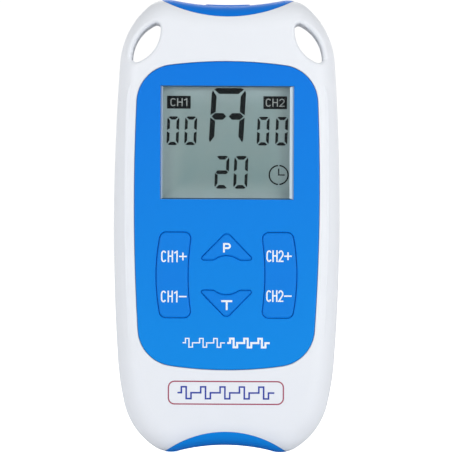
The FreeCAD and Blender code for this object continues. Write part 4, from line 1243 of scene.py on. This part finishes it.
@dataclass
class Display:
    """The bevelled window, the liquid crystal cell and its figures."""

    flange: float = 1.5
    flange_step: float = 0.7
    bevel_step: float = 0.45
    bevel_left: float = 0.5
    bevel_right: float = 1.05
    bevel_ends: float = 0.3
    corner_points: int = 5
    flange_radius: float = 0.6
    block_radius: float = 0.25
    face_radius: float = 0.12
    shift: Point2 = (-0.05, 0.26)
    level_places: tuple[float, ...] = (1.55, 6.25, 25.45, 30.35)
    level_drop: float = 15.9
    mode_place: Point2 = (12.75, 15.75)
    timer_places: Point2 = (14.3, 19.3)
    timer_drop: float = 27.4
    clock_place: Point2 = (31.35, 23.7)
    clock_radius: float = 2.5
    clock_line: float = 0.38
    clock_gap: float = 4.0
    clock_hands: Point2 = (1.6, 1.7)
    hand_weight: float = 0.85
    label_places: Point2 = (1.68, 27.2)
    label_drop: float = 2.85
    label_wide: float = 6.26
    label_high: float = 3.4
    film: float = 0.02
    layer_pitch: float = 0.5
    layer_thick: float = 0.22
    layer_high: float = 1.84
    strip_half: float = 0.9
    small: SegmentDigit = SegmentDigit(3.2, 7.6, 0.74, 0.85, 0.34, 0.035)
    timer: SegmentDigit = SegmentDigit(3.7, 8.7, 0.78, 1.0, 0.4, 0.035)
    mode: SegmentDigit = SegmentDigit(9.1, 15.0, 1.36, 1.55, 0.62, 0.055, True)

    def rounded(self, x0: float, x1: float, z0: float, z1: float, radius: float) -> list[Point2]:
        """The outline of a rectangle with round corners, anticlockwise from its upper right."""
        outline: list[Point2] = []
        left, right, low, high = x0 + radius, x1 - radius, z0 + radius, z1 - radius
        corners = ((right, high), (left, high), (left, low), (right, low))
        for index, centre in enumerate(corners):
            start = 90 * index
            outline += arc_points(centre, (radius, radius), start, start + 90, self.corner_points)
        return outline

    def build_window(self, shop: Workshop) -> None:
        """Makes the window: a flange behind the fascia and a raised block with bevelled edges."""
        low, high = shop.box("display_window")
        x0, x1 = low.x + self.flange, high.x - self.flange
        z0, z1 = low.z + self.flange, high.z - self.flange
        step_y = low.y + self.flange_step
        bevel_y = low.y + self.bevel_step
        flange = self.rounded(low.x, high.x, low.z, high.z, self.flange_radius)
        block = self.rounded(x0, x1, z0, z1, self.block_radius)
        ends = self.bevel_ends
        face = self.rounded(
            x0 + self.bevel_left, x1 - self.bevel_right, z0 + ends, z1 - ends, self.face_radius
        )
        rings = [(high.y, flange), (step_y, flange), (step_y, block), (bevel_y, block), (low.y, face)]
        points = [(x, y, z) for y, outline in rings for x, z in outline]
        count = len(rings[0][1])
        faces: list[list[int]] = []
        for ring in range(len(rings) - 1):
            for step in range(count):
                after = (step + 1) % count
                near, far = ring * count, (ring + 1) * count
                faces.append([near + step, near + after, far + after, far + step])
        bevel = range(3 * count, 4 * count)
        faces.append(list(range(count)))
        faces.append([4 * count + step for step in range(count)])

        def finish_of(index: int) -> int:
            """Clear, or one of the bevels: a pale painted highlight at the sides and painted shade at the
            ends.
            """
            if index not in bevel:
                return 0
            middle_x = sum(points[corner][0] for corner in faces[index]) / len(faces[index])
            return 1 if abs(middle_x) > x1 - self.bevel_right else 2

        # The clear window, its painted highlight bevels and its painted shade bevels.
        finishes = [Finish.CLEAR_WINDOW, Finish.BEVEL_PAINTED_HIGHLIGHT, Finish.BEVEL_PAINTED_SHADE]
        window = shop.piece("display_window_pane", points, faces, finishes, finish_of)
        shop.enter(window, Body.CASING, ["display_window"])

    def build_figures(self, shop: Workshop) -> None:
        """Lays the dark figures on the front of the cell."""
        window_low, window_high = shop.box("display_window")
        left = window_low.x + self.flange + self.shift[0]
        top = window_high.z - self.flange + self.shift[1]
        glass_y = shop.box("lcd_front_glass")[0].y
        ground = Ground(Facing.FRONT, flat=glass_y)
        figures = Artwork()
        for across in self.level_places:
            self.small.draw(figures, "abcdef", (left + across, top - self.level_drop))
        self.mode.draw(figures, "abcefg", (left + self.mode_place[0], top - self.mode_place[1]))
        for across, lit in zip(self.timer_places, ("abged", "abcdef")):
            self.timer.draw(figures, lit, (left + across, top - self.timer_drop))
        self.draw_clock(figures, (left + self.clock_place[0], top - self.clock_place[1]))
        z1 = top - self.label_drop
        z0 = z1 - self.label_high
        for across in self.label_places:
            x0 = left + across
            x1 = x0 + self.label_wide
            figures.polygon([(x0, z0), (x1, z0), (x1, z1), (x0, z1)])
        place = (Body.CASING, "display_glass")
        figures.print_on(shop, "display_figures", ground, Finish.SEGMENT, *place)
        words = Artwork()
        hand = Lettering(height=2.1, weight=0.24, wide=1.42, sign=1.0, space=0.36)
        for across, word in zip(self.label_places, ("CH1", "CH2")):
            hand.write(words, word, (left + across + self.label_wide / 2, z1 - self.label_high / 2))
        over = Ground(Facing.FRONT, flat=glass_y - self.film)
        words.print_on(shop, "display_words", over, Finish.SEGMENT_GAP, *place, lift=0.015)

    def draw_clock(self, art: Artwork, centre: Point2) -> None:
        """Adds a clock: a ring with a gap at its top and bottom and two hands."""
        radii = (self.clock_radius, self.clock_radius)
        for start in (90, -90):
            first, last = start + self.clock_gap, start + 180 - self.clock_gap
            art.strip(arc_points(centre, radii, first, last, 24), self.clock_line)
        x, z = centre
        across, up = self.clock_hands
        art.strip([(x, z + up), (x, z), (x + across, z)], self.clock_line * self.hand_weight)

    def build_connector(self, shop: Workshop) -> None:
        """Adds the thin conducting layers to the elastomer strips between the glass and the board."""
        low, high = shop.box("elastomer_strips")
        count = int((high.x - low.x - 0.6) / self.layer_pitch)
        recipe = GeometryRecipe(
            "conducting_layers",
            {
                "Layers": count,
                "Pitch": self.layer_pitch,
                "Thickness": self.layer_thick,
                "Depth": high.y - low.y - self.film,
                "Height": self.layer_high,
                "Low Strip": low.z + self.strip_half,
                "High Strip": high.z - self.strip_half,
            },
        )
        offset = recipe.vector(x=recipe.size("Pitch"))
        rows = []
        for strip in ("Low Strip", "High Strip"):
            start = recipe.vector(x=low.x + 0.5, y=(low.y + high.y) / 2, z=recipe.size(strip))
            row = recipe.node(
                "GeometryNodeMeshLine", Count=recipe.size("Layers"), Start_Location=start, Offset=offset
            )
            rows.append(row.outputs[0])
        sides = [recipe.size(label) for label in ("Thickness", "Depth", "Height")]
        layer = recipe.node("GeometryNodeMeshCube", Size=recipe.vector(*sides)).outputs[0]
        made = recipe.node("GeometryNodeInstanceOnPoints", Points=recipe.join(*rows), Instance=layer)
        layers = recipe.bake("elastomer_layers", made.outputs[0], shop.palette.get(Finish.CARBON))
        for polygon in layers.data.polygons:
            polygon.use_smooth = False
        shop.enter(layers, Body.CASING)

    def build(self, shop: Workshop) -> None:
        """Builds and dresses the display."""
        shop.dress(Finish.DISPLAY_GLASS, "lcd_front_glass", "lcd_rear_glass")
        shop.dress(Finish.REFLECTOR, "lcd_reflector")
        shop.dress(Finish.FRAME_PLASTIC, "display_frame")
        shop.dress(Finish.FOAM, "display_gasket")
        shop.dress(Finish.ELASTOMER, "elastomer_strips")
        self.build_window(shop)
        self.build_figures(shop)
        self.build_connector(shop)


@dataclass
class Keypad:
    """The four keys, their printed signs, and the mat and contacts under them."""

    channel: Lettering = Lettering(height=3.08, weight=0.36, wide=1.4, sign=2.05, space=0.36)
    tighter: float = 0.2
    program: Lettering = Lettering(height=2.5, weight=0.47, wide=2.05, sign=2.0, space=0.4)
    timer: Lettering = Lettering(height=2.6, weight=0.5, wide=2.9, sign=2.0, space=0.4)
    rocker_x: float = 13.9
    plus_z: Point2 = (51.9, 52.1)
    minus_z: Point2 = (41.3, 41.55)
    arrow_x: float = 0.1
    program_z: float = 54.25
    timer_z: float = 39.1

    def print_key(
        self, shop: Workshop, node: str, body: Body, words: Sequence[tuple[str, Lettering, Point2]]
    ) -> None:
        """Prints words on one key.

        Args:
            shop: where pieces are made.
            node: the key's node.
            body: the key's body.
            words: each word with its lettering and its middle.
        """
        art = Artwork()
        for word, hand, centre in words:
            hand.write(art, word, centre)
        ground = Ground(Facing.FRONT, node=shop.nodes[node])
        art.print_on(shop, node + "_print", ground, Finish.WHITE_INK, body, "blue_keys")

    def build(self, shop: Workshop) -> None:
        """Builds and dresses the keypad."""
        shop.dress(Finish.BLUE_KEYS, "key_program", "key_timer", "key_channel_1", "key_channel_2")
        shop.dress(Finish.KEYPAD_RUBBER, "keypad_mat")
        shop.dress(Finish.CARBON, "pill_program", "pill_timer", "pills_channel_1", "pills_channel_2")
        shop.dress(Finish.GOLD_PADS, "key_contact_pads")
        close = replace(self.channel, space=self.channel.space - self.tighter)
        rockers = ((Body.CHANNEL_1, self.channel, -self.rocker_x), (Body.CHANNEL_2, close, self.rocker_x))
        for index, (body, hand, x) in enumerate(rockers):
            word = f"CH{index + 1}"
            ends = (("+", self.plus_z[index]), ("-", self.minus_z[index]))
            words = [(word + sign, hand, (x, z)) for sign, z in ends]
            self.print_key(shop, f"key_channel_{index + 1}", body, words)
        program = ("P", self.program, (self.arrow_x, self.program_z))
        timer = ("T", self.timer, (self.arrow_x, self.timer_z))
        self.print_key(shop, "key_program", Body.PROGRAM_KEY, [program])
        self.print_key(shop, "key_timer", Body.TIMER_KEY, [timer])


@dataclass
class PowerSwitch:
    """The button in the top cap and the switch it pushes."""

    def build(self, shop: Workshop) -> None:
        """Dresses the button and the switch."""
        shop.dress(Finish.BLUE_PLASTIC, "power_button")
        shop.dress(Finish.BLACK_PLASTIC, "power_switch")
        shop.dress(Finish.SWITCH_PLUNGER, "power_switch_plunger")


@dataclass
class Sockets:
    """The two lead sockets in the lower end."""

    def build(self, shop: Workshop) -> None:
        """Dresses the sockets and their pins."""
        for side in ("left", "right"):
            shop.dress(Finish.BLACK_PLASTIC, "lead_socket_" + side)
            shop.dress(Finish.CONTACT_METAL, "socket_pin_" + side)


@dataclass
class BatteryBay:
    """The two cells with their contacts, and the cover with its label."""

    crown_radius: float = 4.9
    nub_radius: float = 2.7
    nub_rise: float = 1.0
    band_rise: float = 12.0
    wire_radius: float = 0.3
    coil_foot: float = 4.2
    coil_head: float = 3.2
    coil_turns: float = 3.5
    plate_side: float = 10.0
    plate_rise: float = 0.4
    tab_wide: float = 2.8
    tab_end: float = 4.0
    wire_face: float = 0.4
    mark_end: float = 6.0
    label_inset: float = 1.0
    label_line: float = 0.25
    drawn_x: float = 4.2
    drawn_half: Point2 = (2.9, 9.6)
    drawn_line: float = 0.3
    drawn_nub: Point2 = (2.0, 0.9)
    drawn_sign: float = 6.4

    def build_cell(self, shop: Workshop, side: str, plus_up: bool) -> None:
        """Makes one cell: a sleeved can with a crimped shoulder and a raised plus end.

        Args:
            shop: where pieces are made.
            side: left or right.
            plus_up: whether its plus end is at the top.
        """
        node = "battery_cell_" + side
        low, high = shop.box(node)
        centre = ((low.x + high.x) / 2, (low.y + high.y) / 2)
        radius = (high.x - low.x) / 2
        length = high.z - low.z
        shoulder = length - self.nub_rise
        crown, nub = self.crown_radius, self.nub_radius
        foot = [(0.0, 0.0), (radius - 1.6, 0.0), (radius - 1.2, 0.15), (radius - 0.5, 0.15)]
        foot += [(radius - 0.12, 0.4), (radius, 0.75)]
        wall = [(radius, shoulder - self.band_rise), (radius, shoulder - 1.6)]
        crimp = [(radius - 0.12, shoulder - 0.5), (radius - 0.55, shoulder - 0.1)]
        ring = [(crown, shoulder - 0.15), (crown - 0.6, shoulder - 0.55), (nub + 0.5, shoulder - 0.5)]
        head = [(nub, shoulder - 0.2), (nub, length - 0.25), (nub - 0.25, length), (0.0, length)]
        profile = foot + wall + crimp + ring + head
        bands = [0, 0, 1, 1, 1, 1, 2, 2, 2, 2, 0, 0, 0, 0, 0, 0]
        if plus_up:
            turned = [(r, low.z + z) for r, z in profile]
        else:
            turned = [(r, high.z - z) for r, z in profile]
        finishes = [Finish.CAN_METAL, Finish.CELL_SLEEVE, Finish.CELL_BAND]
        cell = shop.turned(node + "_sleeved", turned, centre, finishes, bands)
        shop.enter(cell, Body.CASING, [node])
        hand = Lettering(height=3.0, weight=0.7, wide=2.0, sign=3.6, space=0.5)
        band_middle = shoulder - self.band_rise / 2
        plus_z = low.z + band_middle if plus_up else high.z - band_middle
        minus_z = low.z + self.mark_end if plus_up else high.z - self.mark_end
        marks = (("+", "plus", plus_z, Finish.WHITE_INK), ("-", "minus", minus_z, Finish.GREY_INK))
        for sign, word, z, finish in marks:
            art = Artwork()
            hand.write(art, sign, (centre[0], z))
            ground = Ground(Facing.BACK, node=cell)
            art.print_on(shop, f"{node}_{word}", ground, finish, Body.CASING, "battery_sleeve")

    def build_spring(self, shop: Workshop, side: str, at_top: bool) -> None:
        """Makes one minus contact: a plate with its tab and a tapered coil of wire.

        Args:
            shop: where pieces are made.
            side: left or right.
            at_top: whether it is at the top of the bay.
        """
        node = "battery_spring_" + side
        low, high = shop.box(node)
        centre_x = (low.x + high.x) / 2
        cell_low, cell_high = shop.box("battery_cell_" + side)
        centre_y = (cell_low.y + cell_high.y) / 2
        way = -1.0 if at_top else 1.0
        start = (high.z - self.plate_rise) if at_top else (low.z + self.plate_rise)
        rise = high.z - low.z - self.plate_rise
        recipe = GeometryRecipe(
            node + "_coil",
            {
                "Turns": self.coil_turns,
                "Foot Radius": self.coil_foot,
                "Head Radius": self.coil_head,
                "Rise": way * (rise - 2 * self.wire_radius),
                "Wire": self.wire_radius,
                "Plate": self.plate_side,
                "Plate Rise": self.plate_rise,
            },
        )
        coil = recipe.moved(
            recipe.coil("Foot Radius", "Head Radius", "Rise"),
            Translation=(centre_x, centre_y, start + way * self.wire_radius),
        )
        sides = [recipe.size(label) for label in ("Plate", "Plate", "Plate Rise")]
        plate = recipe.node("GeometryNodeMeshCube", Size=recipe.vector(*sides)).outputs[0]
        plate_z = start - way * self.plate_rise / 2
        placed = recipe.moved(plate, Translation=(centre_x, centre_y, plate_z))
        tab_rise = centre_y - self.tab_end - low.y
        tab = recipe.node("GeometryNodeMeshCube", Size=(self.tab_wide, tab_rise, self.plate_rise))
        tab_placed = recipe.moved(tab.outputs[0], Translation=(centre_x, low.y + tab_rise / 2, plate_z))
        whole = recipe.join(coil, placed, tab_placed)
        made = recipe.bake(node + "_wound", whole, shop.palette.get(Finish.CONTACT_METAL))
        for polygon in made.data.polygons:
            polygon.use_smooth = polygon.area < self.wire_face * MM * MM
        shop.enter(made, Body.CASING, [node])

    def print_label(self, shop: Workshop) -> None:
        """Prints a border and a drawing of how the two cells lie on the cover's label."""
        low, high = shop.box("rating_label")
        art = Artwork()
        inset = self.label_inset
        x0, x1, z0, z1 = low.x + inset, high.x - inset, low.z + inset, high.z - inset
        art.strip([(x0, z0), (x1, z0), (x1, z1), (x0, z1)], self.label_line, closed=True)
        for way in (1, -1):
            self.draw_cell(art, (way * self.drawn_x, (z0 + z1) / 2), way)
        ground = Ground(Facing.BACK, node=shop.nodes["rating_label"])
        place = (Body.COVER, "label_film")
        art.print_on(shop, "rating_label_print", ground, Finish.GREY_INK, *place, lift=0.01)

    def draw_cell(self, art: Artwork, centre: Point2, way: int) -> None:
        """Adds the outline of a cell with its two signs; its plus end is up if the way is 1."""
        x, z = centre
        half_x, half_z = self.drawn_half
        corners = ((-half_x, -half_z), (half_x, -half_z), (half_x, half_z), (-half_x, half_z))
        art.strip([(x + across, z + up) for across, up in corners], self.drawn_line, closed=True)
        nub_wide, nub_rise = self.drawn_nub
        nub_z = z + way * (half_z + self.drawn_line / 2)
        art.strip([(x, nub_z), (x, nub_z + way * nub_rise)], nub_wide)
        hand = Lettering(height=2.4, weight=0.42, wide=1.5, sign=2.4, space=0.4)
        hand.write(art, "+", (x, z + way * self.drawn_sign))
        hand.write(art, "-", (x, z - way * self.drawn_sign))

    def build(self, shop: Workshop) -> None:
        """Builds and dresses what is in the battery bay."""
        shop.dress(Finish.WHITE_COVER, "battery_cover")
        shop.dress(Finish.LABEL_FILM, "rating_label")
        shop.dress(Finish.FOAM, "cover_foam_pad")
        shop.dress(Finish.CONTACT_METAL, "battery_plus_contact_left", "battery_plus_contact_right")
        for side, plus_up in (("left", True), ("right", False)):
            self.build_cell(shop, side, plus_up)
            self.build_spring(shop, side, not plus_up)
        self.print_label(shop)


@dataclass
class BeltClip:
    """The sprung clip on the back."""

    wire_radius: float = 0.25
    coil_radius: float = 1.3
    coil_turns: float = 7.0
    inner_leg: float = 3.9
    outer_leg: float = 2.6
    outer_lean: float = 16.0
    inner_seat: float = 0.08
    outer_seat: float = 0.3

    def build_spring(self, shop: Workshop) -> None:
        """Winds the torsion spring round the pin, with one leg up the bracket and one up the lever."""
        low, high = shop.box("belt_clip_spring")
        pin_low, pin_high = shop.box("belt_clip_pin")
        pivot_y, pivot_z = (pin_low.y + pin_high.y) / 2, (pin_low.z + pin_high.z) / 2
        span = high.x - low.x - 2 * self.wire_radius
        recipe = GeometryRecipe(
            "torsion_coil",
            {
                "Turns": self.coil_turns,
                "Coil Radius": self.coil_radius,
                "Span": span,
                "Wire": self.wire_radius,
                "Inner Leg": self.inner_leg,
                "Outer Leg": self.outer_leg,
            },
        )
        coil = recipe.moved(
            recipe.coil("Coil Radius", "Coil Radius", "Span"),
            Translation=(-span / 2, pivot_y, pivot_z),
            Rotation=(0.0, math.pi / 2, 0.0),
        )
        parts = [coil]
        legs = (
            ("Inner Leg", (-span / 2, pivot_y - self.coil_radius + self.inner_seat), 0.0),
            ("Outer Leg", (span / 2, pivot_y + self.coil_radius - self.outer_seat), self.outer_lean),
        )
        for label, (x, y), lean in legs:
            line = recipe.node("GeometryNodeCurvePrimitiveLine", End=recipe.vector(z=recipe.size(label)))
            leg = recipe.wire(line.outputs[0], recipe.size("Wire"))
            foot = (x, y, pivot_z + self.coil_radius)
            parts.append(recipe.moved(leg, Translation=foot, Rotation=(math.radians(lean), 0.0, 0.0)))
        steel = shop.palette.get(Finish.SPRING_STEEL)
        made = recipe.bake("belt_clip_spring_wound", recipe.join(*parts), steel)
        shop.enter(made, Body.CASING, ["belt_clip_spring"])

    def build(self, shop: Workshop) -> None:
        """Builds and dresses the clip."""
        shop.dress(Finish.CLIP_PLASTIC, "belt_clip_lever", "belt_clip_bracket")
        shop.dress(Finish.SPRING_STEEL, "belt_clip_pin")
        self.build_spring(shop)


@dataclass
class Internals:
    """The main board with what is soldered to it, and the screws."""

    def build(self, shop: Workshop) -> None:
        """Dresses the board, its parts and the screws."""
        shop.dress(Finish.CIRCUIT_BOARD, "main_board")
        shop.dress(Finish.CHIP_BODY, "board_components")
        shop.dress(Finish.BLACK_PLASTIC, "microcontroller", "piezo_buzzer")
        shop.dress(Finish.FERRITE, "pulse_transformers")
        shop.dress(Finish.CAN_METAL, "capacitors", "crystal")
        shop.dress(Finish.SCREW_STEEL, "case_screws", "board_screws", "clip_screws")


def clear_scene() -> None:
    """Removes whatever the new file came with."""
    for obj in list(bpy.data.objects):
        bpy.data.objects.remove(obj)


def main() -> None:
    """Builds the studio and every sub-assembly round the frame."""
    logging.basicConfig(level=logging.INFO, format="%(name)s: %(message)s")
    clear_scene()
    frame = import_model()
    shop = Workshop(frame)
    kinds = (Studio, Casing, Display, Keypad, PowerSwitch, Sockets, BatteryBay, BeltClip, Internals)
    for kind in kinds:
        LOG.info("building %s", kind.__name__)
        kind().build(shop)
    bpy.context.view_layer.update()


if __name__ == "__main__":
    main()
